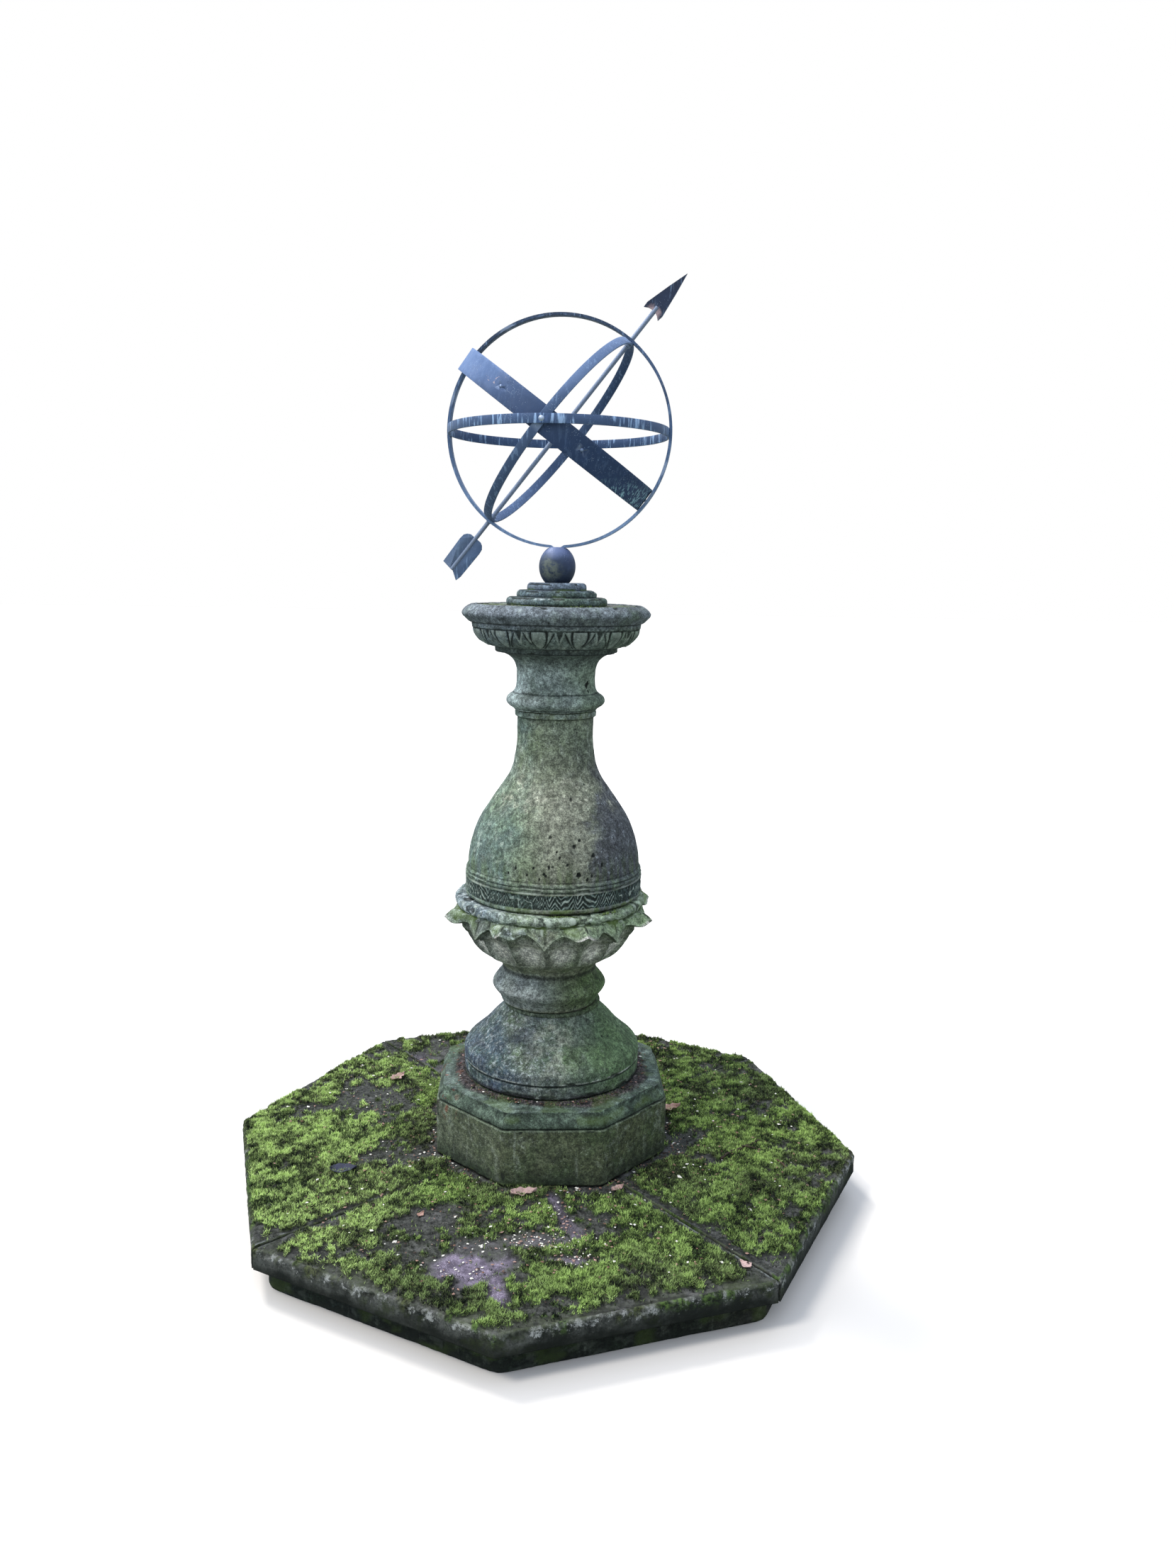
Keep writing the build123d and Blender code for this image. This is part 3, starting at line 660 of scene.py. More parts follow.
# larger weather holes in the bulb: camera azimuth in degrees, height, radius in mm
HOLES = [(16, 724, 4.5), (-3, 742, 2.4), (-6, 727, 2.6), (-5, 723, 2.2), (-13, 739, 2.0), (9, 748, 2.0),
         (-25, 737, 2.0), (-17, 704 + 20, 1.8), (2, 777, 1.8), (-30, 722, 1.8), (22, 712, 2.4), (14, 788, 3.2),
         (27, 765, 3.0), (-9, 715, 1.6), (4, 764, 1.6), (33, 742, 2.6), (10, 703 + 22, 1.5), (18, 800, 2.4),
         (25, 690 + 30, 2.2), (140, 740, 4.0), (165, 770, 2.6), (-120, 732, 3.4), (-150, 790, 2.8),
         (95, 748, 3.0), (110, 812, 2.6), (-80, 760, 2.8), (200, 725, 2.2)]


def shaft_relief(T, P, R, Z):
    z = rel(Z)
    wear = 1 - 0.75 * smooth(640, 644, z) * smooth(682, 678, z)
    h = lumps(P, 31, 0.9) * wear + pitted(P, 32, 62, 0.88, 1.8) * smooth(712, 730, z)
    s = T * 213.5
    # carved band: a wandering zigzag with short branching strokes
    band = smooth(643.5, 646.5, z) * smooth(679.5, 676.5, z)
    flatP = np.stack([P[..., 0], P[..., 1], 0 * Z], -1)
    wob = 22 * fbm(flatP, 13.0, 3, 0.6, 33)
    per = 2 * np.pi * 213.5 / 50
    ph = ((s + wob) / per) % 1.0
    tri = 1 - 4 * np.abs(ph - 0.5)
    zc = 661.5 + (14.0 + 6.0 * fbm(flatP, 9.0, 2, 0.5, 42)) * tri + 5.0 * fbm(P, 48, 2, 0.5, 34)
    slope = np.cos(np.arctan(4 * 11.5 / per * 1.0))
    d1 = np.abs(z - zc) * slope
    ph2 = ((s - 0.7 * wob + 0.31 * per) / (per * 0.62)) % 1.0
    tri2 = 1 - 4 * np.abs(ph2 - 0.5)
    zc2 = 661.5 + 13.0 * tri2 + 4.0 * fbm(P, 45, 2, 0.5, 35)
    d2 = np.abs(z - zc2) * 0.5
    gate = smooth(-0.1, 0.15, fbm(P, 30.0, 2, 0.5, 36))
    worm = np.abs(fbm(P, 46.0, 2, 0.5, 37)) * 15
    lost = smooth(0.38, 0.6, fbm(flatP, 15.0, 2, 0.5, 43))
    nest = np.abs(((z - zc) / 13.0) % 1.0 - 0.5) * 13.0
    line = np.maximum(smooth(3.6, 1.4, nest) * (1 - 0.75 * lost),
                      lost * np.maximum(gate * smooth(2.2, 1.0, d2), (1 - gate) * smooth(2.4, 1.2, worm)))
    h = h + band * MM * (1.7 * line - 2.0) + 0.5 * MM * band * fbm(P, 220.0, 2, 0.6, 38)
    for az, zz, rr in HOLES:
        da = wrap(T - math.radians(az)) * R / MM
        d = np.sqrt(da ** 2 + (z - zz) ** 2) * (1 + 0.22 * fbm(P, 160.0, 1, 0.5, 39))
        h = h - (1.2 + rr * 0.8) * MM * smooth(rr * 1.5, rr * 0.7, d)
    hole = np.zeros_like(h)
    for az, zz, rr in HOLES:
        da = wrap(T - math.radians(az)) * R / MM
        hole = np.maximum(hole, smooth(rr * 1.5, rr * 0.8, np.sqrt(da ** 2 + (z - zz) ** 2)))
    # nicks in the fillets
    nick = smooth(0.3, 0.62, fbm(P, 30.0, 2, 0.5, 40)) * (bump1(z - 688, 5) + bump1(z - 697, 5))
    h = h - 1.8 * MM * nick
    return h, {"frieze": band, "line": band * line, "hole": hole,
               "moss": bump1(z - 640, 8) * smooth(-0.1, 0.4, fbm(P, 30, 2, 0.5, 41))}, None, None


# ---------------------------------------------------------------------- capital
CAPITAL = [("line", [(30, 1079), (88, 1079)], 40), ("line", [(97, 1079)], 3),
           ("curve", [(101.7, 1084), (109.6, 1089), (114.7, 1094), (117, 1100), (114.5, 1109), (109.6, 1114),
                      (102.1, 1119)], 2.6),
           ("curve", [(95.6, 1129), (93, 1141), (92.8, 1164), (94.6, 1179), (100.7, 1194), (110.5, 1204),
                      (119.1, 1209), (132.5, 1214)], 4.0),
           ("line", [(142, 1214.5), (143.8, 1217), (144.2, 1226)], 2.2),
           ("curve", [(156, 1229), (167.3, 1234), (176.3, 1239), (186.1, 1249), (192.2, 1259), (194.9, 1269)], 1.8),
           ("line", [(194.2, 1270.5), (197.2, 1271.5), (198.4, 1280.5), (197.2, 1282)], 1.7),
           ("curve", [(204, 1284), (213.8, 1293), (219.6, 1299), (221, 1304), (217, 1312), (209, 1319), (200, 1324)], 2.8),
           ("line", [(192, 1324), (189, 1320), (178, 1320)], 2.8), ("line", [(112, 1320)], 9), ("line", [(40, 1320)], 40)]
EGGS = 13


def capital_relief(T, P, R, Z):
    z = rel(Z)
    h = lumps(P, 51, 0.75) + pitted(P, 52, 70, 0.9, 1.4) * ((z < 1200) | (z > 1284))
    band = smooth(1230, 1233, z) * smooth(1270.2, 1268.2, z)
    per = 2 * np.pi / EGGS
    u = wrap(T - math.radians(2.0) + 0.0)
    u = (u / per + 0.5) % 1.0 - 0.5            # 0 on the dart, +-0.5 on the egg
    e = 0.5 - np.abs(u)                        # 0 on the egg's middle, 0.5 on the dart
    v = np.clip((z - 1231.0) / (1268.5 - 1231.0), 0, 1)       # 0 at the bottom, 1 at the top
    # egg: rounded below, cut off by the fillet above
    ew = 0.20 * np.sqrt(np.clip(1 - ((v - 0.72) / 0.66) ** 2, 0.0, 1.0))
    egg = np.clip(1 - (e / np.maximum(ew, 1e-3)) ** 2, 0, 1) * (v > 0.06)
    h = h + band * MM * 3.0 * np.sqrt(egg)
    ring = np.abs(e - ew) * 88.0
    h = h - band * MM * 1.7 * smooth(2.4, 0.8, ring) * (ew > 0.02)
    # shell: outer line that sweeps from the fillet to the foot of the dart
    sw = 0.285 + 0.10 * v - 0.18 * (1 - v) ** 1.6
    shell = np.abs(e - sw) * 88.0
    h = h + band * MM * 1.6 * smooth(5.0, 1.6, np.abs(e - (ew + sw) / 2) * 88.0)
    h = h - band * MM * 1.4 * smooth(2.2, 0.7, shell) * (v < 0.98)
    # dart: a hanging V
    dw = 0.118 * np.clip((v - 0.28) / 0.72, 0, 1)
    a = np.abs(u)
    dart = np.abs(a - dw) * 88.0
    h = h + band * MM * 1.6 * smooth(3.0, 1.1, dart) * (v > 0.24)
    h = h - band * MM * 1.1 * smooth(dw + 1e-4, dw * 0.4, a) * (v > 0.34)
    # bruised rim, fine crack and shallow scar on the ring moulding
    rimz = smooth(1284, 1292, z)
    h = h - 0.7 * MM * smooth(0.25, 0.6, fbm(P, 26.0, 3, 0.5, 53)) * rimz * smooth(1321, 1312, z)
    h = h - 1.6 * MM * smooth(0.35, 0.65, fbm(P, 34.0, 2, 0.5, 54)) * (bump1(z - 1216, 5) + bump1(z - 1322, 6))
    # horizontal scar round the front of the neck
    scar = np.abs(z - 1123 - 3 * fbm(P, 20.0, 2, 0.5, 58)) * (1 + 2 * smooth(0, 0.4, fbm(P, 12.0, 2, 0.5, 59)))
    h = h - 0.8 * MM * smooth(2.4, 0.8, scar)
    hole = np.zeros_like(h)
    for az, zz, rr in ((50, 1141, 5.0), (54, 1146, 3.0), (52, 1128, 2.5), (-140, 1150, 4.0), (150, 1170, 3.0)):
        da = wrap(T - math.radians(az)) * R / MM
        d = np.sqrt(da ** 2 + (z - zz) ** 2) * (1 + 0.3 * fbm(P, 120.0, 2, 0.5, 55))
        hole = np.maximum(hole, smooth(rr * 1.4, rr * 0.7, d))
    h = h - 3.0 * MM * hole
    # soil lying in the sunk rim
    ledge = smooth(188, 186, R / MM) * smooth(1318, 1319.5, z)
    h = h + ledge * MM * (1.5 + 1.8 * fbm(P, 70.0, 3, 0.5, 56))
    return h, {"egg": band * egg, "hole": hole, "soil": ledge,
               "groove": band * np.maximum(smooth(2.6, 0.8, ring), smooth(2.3, 0.7, shell)),
               "moss": ledge * smooth(0.0, 0.4, fbm(P, 26, 3, 0.5, 57))}, None, None


# ---------------------------------------------------------------------- cap
CAP = [("line", [(16.1, 1323), (108, 1323)], 30), ("line", [(117, 1323)], 2.5),
       ("curve", [(118.6, 1330), (117, 1337), (112, 1341)], 1.6), ("line", [(93.5, 1341.5)], 2.0),
       ("curve", [(94.2, 1347), (92.4, 1353), (88, 1357)], 1.6), ("line", [(69.5, 1357.5)], 2.0),
       ("curve", [(69.8, 1363), (68, 1370), (63, 1374)], 1.6), ("line", [(44, 1374)], 2.2),
       ("line", [(16.1, 1374)], 9), ("line", [(16.1, 1324)], 20)]


def cap_relief(T, P, R, Z):
    z = rel(Z)
    r = R / MM
    out = smooth(40, 46, r) * smooth(1323.5, 1326, z)
    h = lumps(P, 61, 0.8)
    edge = bump1(z - 1340, 6) * (r > 108) + bump1(z - 1356, 6) * ((r > 85) & (r < 96)) + bump1(z - 1372, 6) * (r > 60)
    h = h - 2.3 * MM * smooth(0.2, 0.55, fbm(P, 33.0, 3, 0.5, 62)) * edge
    h = h + pitted(P, 63, 80, 0.86, 1.4)
    chip = smooth(0.28, 0.5, fbm(P, 46.0, 2, 0.5, 64)) * edge
    return h * out, {"chip": chip * out, "moss": smooth(0.1, 0.5, fbm(P, 30.0, 3, 0.5, 65)) * out *
                     (bump1(z - 1343, 4) + bump1(z - 1359, 4) + bump1(z - 1325, 6))}, None, None


# ---------------------------------------------------------------------- plinth
def oct_factor(phi):
    """Radius of a unit-apothem octagon with flats square to the axes."""
    w = (phi + np.pi / 8) % (np.pi / 4) - np.pi / 8
    return 1 / np.cos(w), w


def plinth(name, ncol=640):
    a0, a1 = 278.46, 261.46
    zb = 5.0                       # underside, mm above the paving
    runs = [("line", [(60, zb), (a0 - 12, zb)], 60), ("line", [(a0 - 1.2, zb), (a0, zb + 1.5), (a0, 137.0)], 3.0), ("line", [(a0, 139.6), (a0 - 0.5, 140.2), (a0 - 4.6, 140.7), (a0 - 6.2, 141.8), (a0 - 5.8, 143.4), (a0 - 3.6, 144.6)], 1.0),
            ("curve", [(a0 - 3.2, 147.5), (a0 - 4.2, 153.5), (a0 - 8.4, 161.0), (a1 + 3.2, 168.5), (a1 + 1.6, 176)], 1.6),
            ("line", [(a1 + 1.2, 179.2), (a1 + 0.4, 180), (a1 - 6, 180)], 1.2), ("line", [(196, 180)], 3.2), ("line", [(60, 180)], 60)]
    prof = section(runs, 3.0)
    nrm = normals_of(prof)
    for _ in range(2):
        nrm[1:-1] = (nrm[:-2] + 2 * nrm[1:-1] + nrm[2:]) / 4
    nrm /= np.linalg.norm(nrm, axis=1)[:, None]
    ph = -np.pi + (np.arange(ncol)) * 2 * np.pi / ncol + np.pi / 8
    PH = np.broadcast_to(ph, (len(prof), ncol))
    A = np.broadcast_to(prof[:, :1], PH.shape)
    Z = np.broadcast_to(prof[:, 1:], PH.shape)
    f, w = oct_factor(PH)
    # worn corners: shave the last millimetres
    R = A * f
    corner = A * (1 / math.cos(math.pi / 8)) - R
    R = R - MM * 1.8 * smooth(1.8 * MM, 0.0, corner)
    P = np.stack([R * np.cos(PH), R * np.sin(PH), Z], -1)
    z = rel(Z)
    face = smooth(176, 170, z)
    h = lumps(P, 71, 0.6) + pitted(P, 72, 55, 0.9, 1.8) * face
    h = h - 1.5 * MM * smooth(0.30, 0.62, fbm(P, 22.0, 3, 0.5, 73)) * (bump1(z - 139, 5) + bump1(z - 179, 5))
    h = h - 2.0 * MM * smooth(0.35, 0.70, fbm(P, 16.0, 2, 0.5, 74)) * smooth(4.5 * MM, 0.0, corner) * smooth(8, 30, z)
    h = h - 1.2 * MM * smooth(24, 4, z) * smooth(0.0, 0.6, fbm(P, 25.0, 2, 0.5, 75))
    top = smooth(178.5, 179.8, z)
    r = np.hypot(P[..., 0], P[..., 1]) / MM
    # leaf litter gathered on the ledge round the disc
    lit = top * smooth(246, 226, r + 16 * fbm(P, 9.0, 2, 0.5, 76)) * smooth(212, 218, r)
    deb = lit * (2.0 + 3.2 * np.abs(fbm(P, 75.0, 3, 0.6, 77)) + 2.0 * smooth(232, 217, r))
    h = h + deb * MM
    edge = np.minimum(np.arange(len(prof)), np.arange(len(prof))[::-1])[:, None]
    h = h * np.clip(edge / 2.0, 0, 1)
    A2 = R + h * nrm[:, :1]
    Z2 = Z + h * nrm[:, 1:]
    cav = h * (1 - top) - blur(h * (1 - top), 5)
    moss = np.clip(smooth(0.1, 0.5, fbm(P, 18.0, 3, 0.5, 78)) * (bump1(z - 182, 5) + smooth(16, 4, z))
                   + 0.8 * smooth(0.25, 0.5, fbm(P, 12.0, 3, 0.5, 79)) * bump1(z - 160, 16), 0, 1)
    return tube_grid(name, A2 * np.cos(PH), A2 * np.sin(PH), Z2,
                     {"cav": cav / MM, "soil": np.clip(lit * 1.4, 0, 1), "moss": moss})


# ---------------------------------------------------------------------- paving
PC = np.array([-19.85, -32.81]) * MM
PR = 774.2 * MM
BEAR = -97.11
PZ0, PZ1 = 0.062, G


def corner(i):
    a = math.radians(BEAR + 45 * i)
    return PC + PR * np.array([math.cos(a), math.sin(a)])


def blob(P, x, y, rx, ry, rot=0.0, seed=0, edge=0.35):
    """Soft patch with a ragged edge, 0 to 1."""
    c, s = math.cos(rot), math.sin(rot)
    dx, dy = P[..., 0] - x, P[..., 1] - y
    u, v = (c * dx + s * dy) / rx, (-s * dx + c * dy) / ry
    d = np.sqrt(u * u + v * v) + 0.55 * fbm(P, 13.0, 3, 0.55, seed)
    return smooth(1 + edge, 1 - edge, d)


def ground_fields(x, y):
    """What covers the paving at (x, y): moss, soil, bare stone, and the height of it."""
    P = np.stack([x, y, np.zeros_like(x)], -1)
    f1 = fbm(P, 4.2, 4, 0.55, 81)
    f2 = fbm(P, 15.0, 4, 0.6, 82)
    r = np.hypot(x, y)
    ang = np.arctan2(y, x)
    oct_r = r / oct_factor(ang)[0]
    rim = np.abs(np.hypot(x - PC[0], y - PC[1]) / (PR * math.cos(math.pi / 8)) /
                 (1 / np.cos((np.arctan2(y - PC[1], x - PC[0]) - math.radians(BEAR) ) % (np.pi / 4) - np.pi / 8)))
    f3 = fbm(P, 52.0, 3, 0.6, 80)
    m = 0.80 + 0.40 * f1 + 0.40 * f2 + 0.62 * f3
    # lavender-grey bare patch in front, its tail to the rim, and a worn path up to the plinth
    bare = blob(P, -0.195, -0.590, 0.085, 0.052, 0.15, 83)
    bare = np.maximum(bare, blob(P, -0.115, -0.640, 0.030, 0.085, 0.2, 84))
    bare = np.maximum(bare, 0.9 * blob(P, 0.022, -0.400, 0.020, 0.095, 0.30, 85))
    bare = np.maximum(bare, 0.8 * blob(P, 0.040, -0.570, 0.060, 0.018, 0.0, 86))
    bare = np.maximum(bare, 0.45 * blob(P, -0.045, -0.500, 0.14, 0.026, 0.15, 87))
    bare = np.maximum(bare, 0.5 * blob(P, 0.18, 0.55, 0.12, 0.04, 0.4, 88))
    bare = np.maximum(bare, 0.5 * blob(P, -0.35, 0.42, 0.06, 0.09, 0.4, 89))
    soil = 0.8 * blob(P, 0.120, -0.445, 0.09, 0.045, -0.4, 90)
    soil = np.maximum(soil, 0.85 * blob(P, -0.33, -0.10, 0.13, 0.07, 0.5, 91))
    soil = np.maximum(soil, 0.8 * blob(P, -0.28, -0.40, 0.07, 0.05, -0.3, 92))
    soil = np.maximum(soil, 0.8 * blob(P, 0.36, -0.10, 0.05, 0.10, 0.2, 93))
    soil = np.maximum(soil, 0.75 * blob(P, -0.42, 0.12, 0.10, 0.12, 0.2, 94))
    soil = np.maximum(soil, 0.7 * blob(P, 0.50, 0.12, 0.08, 0.05, 0.8, 95))
    soil = np.maximum(soil, smooth(0.052, 0.014, oct_r - 0.2785 + 0.012 * f2) * smooth(-0.35, 0.05, f2 + 0.3))
    # bright cushions
    m = m + 0.5 * blob(P, 0.225, -0.520, 0.15, 0.07, -0.5, 96) + 0.4 * blob(P, -0.50, -0.36, 0.11, 0.14, 0.5, 97)
    m = m + 0.4 * blob(P, 0.45, 0.0, 0.10, 0.26, -0.2, 98) + 0.6 * blob(P, 0.05, -0.655, 0.13, 0.035, 0.1, 99)
    # the front slab keeps a bare margin, the others are grown over to the edge
    ang_c = np.degrees(np.arctan2(y - PC[1], x - PC[0]))
    frontal = smooth(-150, -140, ang_c) * smooth(-44, -54, ang_c)
    # the open joint towards the right front corner stays clear of moss, the others half closed
    seam, joint_highlight = np.zeros_like(x), np.zeros_like(x)
    for kc, wd, amt in ((1, 0.030, 1.0), (-1, 0.017, 0.9), (3, 0.012, 0.5), (5, 0.012, 0.5)):
        cc = corner(kc) - PC
        ln = np.hypot(*cc)
        ux, uy = cc / ln
        al = (x - PC[0]) * ux + (y - PC[1]) * uy
        sg = -(x - PC[0]) * uy + (y - PC[1]) * ux
        # patchy painted highlight along one arris of each open joint
        joint_highlight_gate = smooth(-0.25, 0.25, fbm(P, 16.0, 3, 0.6, 78)) * smooth(0.30, 0.55, al)
        joint_highlight = np.maximum(joint_highlight, amt * (bump1(-sg - 0.0065, 0.005) + 0.25 * bump1(sg - 0.0065, 0.005)) * joint_highlight_gate * (al > 0))
        ac = np.abs(sg) + 0.004 * f2
        seam = np.maximum(seam, amt * bump1(ac, wd) * (al > 0))
    m = m - 1.5 * seam - 0.85 * blob(P, -0.545, -0.455, 0.10, 0.030, 0.66, 107)
    m = m - 1.1 * bare - 0.95 * soil - frontal * 0.62 * smooth(0.945, 0.985, rim + 0.03 * f2) - 0.15 * smooth(0.97, 1.0, rim)
    moss = smooth(0.34, 0.66, m)
    under = smooth(-0.004, 0.002, oct_r - 0.2785)      # nothing rises under the plinth
    # everything that isn't moss or bare stone lies under a skin of soil
    skin = np.clip(smooth(0.75, 0.35, m) * (1 - bare) * (1 - 0.55 * frontal * smooth(0.92, 0.98, rim + 0.03 * f2)), 0, 1)
    soil = np.maximum(np.maximum(soil, 0.9 * skin), seam)
    # cushions of moss
    d1, r1 = cells(P + 0.004 * f2[..., None], 62.0, 101)
    d2, r2 = cells(P, 130.0, 102)
    dome = np.sqrt(np.clip(1 - (d1 / 0.82) ** 2, 0, 1))
    tuft = np.sqrt(np.clip(1 - (d2 / 0.85) ** 2, 0, 1))
    hm = moss * (1.2 + 5.6 * dome * (0.35 + 0.65 * r1) + 2.6 * tuft + 2.0 * fbm(P, 190.0, 2, 0.6, 103))
    hs = soil * (1.0 + 2.6 * np.abs(fbm(P, 70.0, 3, 0.6, 104)))
    hb = 0.9 * fbm(P, 34.0, 4, 0.55, 105) + 0.35 * fbm(P, 160.0, 2, 0.6, 106) + 1.4 * f1
    h = (np.maximum(hm, hs * (1 - moss)) + hb) * under - 1.0 * (1 - under)
    return {"moss": moss * under, "soil": np.clip(soil, 0, 1), "bare": np.clip(bare, 0, 1), "rim": smooth(0.93, 1.0, rim), "joint_highlight": joint_highlight * under}, h * MM, 0.30 * r1 + 0.25 * r2 + 0.25 * dome + 0.20 * tuft


def slab(name, first, n=212):
    """One kite-shaped slab: patterned top, rolled outer arris, rough sides, flat underside."""
    O, A, B, C = PC, corner(first), corner(first + 1), corner(first + 2)
    quad = [O, A, B, C]                                    # anticlockwise
    rad = [3.0, 8.5, 8.5, 3.0]                             # arris radius of each edge in mm
    gap = [3.0, 0.0, 0.0, 3.0]                             # half of an open joint

    def offset(ins):
        lines = []
        for k in range(4):
            p, q = quad[k], quad[(k + 1) % 4]
            d = (q - p) / np.linalg.norm(q - p)
            nrm = np.array([-d[1], d[0]])                  # inwards
            lines.append((p + nrm * ins[k] * MM, d))
        pts = []
        for k in range(4):
            (p, d), (q, e) = lines[k - 1], lines[k]
            m = np.array([[d[0], -e[0]], [d[1], -e[1]]])
            t = np.linalg.solve(m, q - p)
            pts.append(p + d * t[0])
        return pts

    outer = offset(gap)
    inner = offset([g + r for g, r in zip(gap, rad)])
    t = np.linspace(0, 1, n + 1)

    def loop_of(pts):
        out = []
        for k in range(4):
            p, q = pts[k], pts[(k + 1) % 4]
            out.append(p + (q - p) * t[:-1, None])
        return np.concatenate(out)

    Lo, Li = loop_of(outer), loop_of(inner)
    rr = np.concatenate([np.full(n, r) for r in rad])
    rr = np.convolve(np.concatenate([rr[-6:], rr, rr[:6]]), np.ones(13) / 13, "valid")
    # top: bilinear between the inner corners
    U, V = np.meshgrid(t, t, indexing="ij")
    a, b, c, d = inner
    X = (1 - U) * (1 - V) * a[0] + U * (1 - V) * b[0] + U * V * c[0] + (1 - U) * V * d[0]
    Y = (1 - U) * (1 - V) * a[1] + U * (1 - V) * b[1] + U * V * c[1] + (1 - U) * V * d[1]
    fld, H, r1 = ground_fields(X, Y)
    # loop index to grid index: O->A is V=0, A->B is U=1, B->C is V=1 back, C->O is U=0 back
    gi = np.concatenate([np.arange(n), np.full(n, n), n - np.arange(n), np.zeros(n, int)])
    gj = np.concatenate([np.zeros(n, int), np.arange(n), np.full(n, n), n - np.arange(n)])
    vid = np.arange((n + 1) * (n + 1)).reshape(n + 1, n + 1)
    verts = [np.stack([X, Y, PZ1 + H], -1).reshape(-1, 3)]
    at = {kk: [vv.ravel()] for kk, vv in fld.items()}
    at["side"] = [np.zeros(X.size)]
    at["cav"] = [(H - blur(H, 3)).ravel() / MM * (1 - fld["moss"].ravel())]
    quads = [np.stack([vid[:-1, :-1], vid[1:, :-1], vid[1:, 1:], vid[:-1, 1:]], -1).reshape(-1, 4)]
    prev = vid[gi, gj]
    base = X.size
    m = 4 * n
    kk = np.arange(m)
    kn = (kk + 1) % m
    inward = Li - Lo
    wid = np.maximum(np.linalg.norm(inward, axis=1), 1e-6)
    nout = -inward / wid[:, None]
    edge_h = H[gi, gj]
    edge_m = fld["moss"][gi, gj]
    rows = []
    for ang in (18, 36, 54, 72, 90):
        s = math.sin(math.radians(ang))
        c = math.cos(math.radians(ang))
        rows.append((1 - s, rr * (1 - c), ang / 90.0))
    depth = (PZ1 - PZ0) / MM
    for q in (0.08, 0.2, 0.33, 0.46, 0.6, 0.74, 0.87, 0.95, 1.0):
        rows.append((0.0, rr + (depth - rr) * q, 1.0))
    uvrows = [0.0]
    for ins, drop, side in rows:
        xy = Lo + inward * ins
        z = PZ1 - drop * MM
        P = np.stack([xy[:, 0], xy[:, 1], z], -1)
        outer_edge = smooth(4, 7.5, rr)
        n1 = fbm(P, 14.0, 4, 0.55, 111)
        n2 = fbm(P, 60.0, 3, 0.6, 112)
        chip = smooth(0.24, 0.55, fbm(P, 24.0, 3, 0.5, 113)) * outer_edge * smooth(0, 3, drop) * smooth(24, 8, drop)
        push = (1.5 * n1 + 1.1 * n2 - 4.5 * chip) * MM * side
        push = push * (1 - smooth(depth - 1.2, depth, drop) * 0.7)
        lift = edge_h * (1 - side) ** 1.0 * 0.9 + 2.6 * MM * edge_m * side * smooth(16, 0, drop) * (0.5 + 0.5 * n2) * outer_edge
        Q = xy + nout * (push + np.maximum(lift, 0) * side)[:, None]
        zz = z + np.where(side < 1, edge_h * (1 - side), 0.0)
        zz = np.where(drop >= depth - 0.01, PZ0, zz)
        verts.append(np.stack([Q[:, 0], Q[:, 1], zz], -1))
        drip = smooth(0.0, 0.5, fbm(np.stack([xy[:, 0] * 1.0, xy[:, 1] * 1.0, z * 0.25], -1), 26.0, 4, 0.6, 114)) * smooth(30, 6, drop)
        at["moss"].append(np.clip(np.maximum(edge_m * smooth(10, 2, drop), drip * 0.9), 0, 1))
        at["soil"].append((1 - outer_edge) * smooth(1, 5, drop))
        at["bare"].append(np.zeros(m))
        at["joint_highlight"].append(np.zeros(m))
        at["rim"].append(np.ones(m))
        at["side"].append(np.full(m, side) * smooth(3, 8, rr))
        at["cav"].append(-chip * 1.0 + 0.9 * n2 * side)
        cur = base + kk
        quads.append(np.stack([prev[kk], cur, base + kn, prev[kn]], 1))
        prev = cur
        base += m
        uvrows.append(drop)
    allv = np.concatenate(verts)
    centre = np.array([[*(sum(quad) / 4), PZ0]])
    allv = np.vstack([allv, centre])
    cid = len(allv) - 1
    for key in at:
        at[key].append(np.zeros(1))
    quads = np.concatenate(quads)
    tri = np.stack([np.full(m, cid), prev[kn], prev[kk]], 1)
    me = bpy.data.meshes.new(name)
    me.vertices.add(len(allv))
    me.vertices.foreach_set("co", allv.astype(np.float32).ravel())
    loops = np.concatenate([quads.ravel(), tri.ravel()]).astype(np.int32)
    starts = np.concatenate([np.arange(len(quads)) * 4, len(quads) * 4 + np.arange(m) * 3]).astype(np.int32)
    me.loops.add(len(loops))
    me.loops.foreach_set("vertex_index", loops)
    me.polygons.add(len(starts))
    me.polygons.foreach_set("loop_start", starts)
    me.update(calc_edges=True)
    # bake map: top in the upper part, sides as a strip, underside small
    ug = 0.02 + 0.96 * U.ravel()
    vg = 0.20 + 0.78 * V.ravel()
    uvs = [np.stack([ug, vg], 1)[quads[:n * n].ravel()]]
    nrow = len(rows)
    for i in range(nrow):
        v0, v1 = 0.17 - 0.13 * i / nrow, 0.17 - 0.13 * (i + 1) / nrow
        u0, u1 = 0.02 + 0.96 * kk / m, 0.02 + 0.96 * (kk + 1) / m
        uvs.append(np.stack([np.stack([u0, np.full(m, v0)], 1), np.stack([u0, np.full(m, v1)], 1),
                             np.stack([u1, np.full(m, v1)], 1), np.stack([u1, np.full(m, v0)], 1)], 1).reshape(-1, 2))
    u0, u1 = 0.02 + 0.96 * kk / m, 0.02 + 0.96 * (kk + 1) / m
    uvs.append(np.stack([np.stack([(u0 + u1) / 2, np.full(m, 0.005)], 1), np.stack([u1, np.full(m, 0.03)], 1),
                         np.stack([u0, np.full(m, 0.03)], 1)], 1).reshape(-1, 2))
    layer = me.uv_layers.new(name="OFBake")
    layer.data.foreach_set("uv", np.concatenate(uvs).astype(np.float32).ravel())
    for key, val in at.items():
        a_ = me.attributes.new(key, "FLOAT", "POINT")
        a_.data.foreach_set("value", np.concatenate(val).astype(np.float32))
    me.polygons.foreach_set("use_smooth", np.ones(len(me.polygons), bool))
    ob = bpy.data.objects.new(name, me)
    bpy.context.scene.collection.objects.link(ob)
    return ob, inner


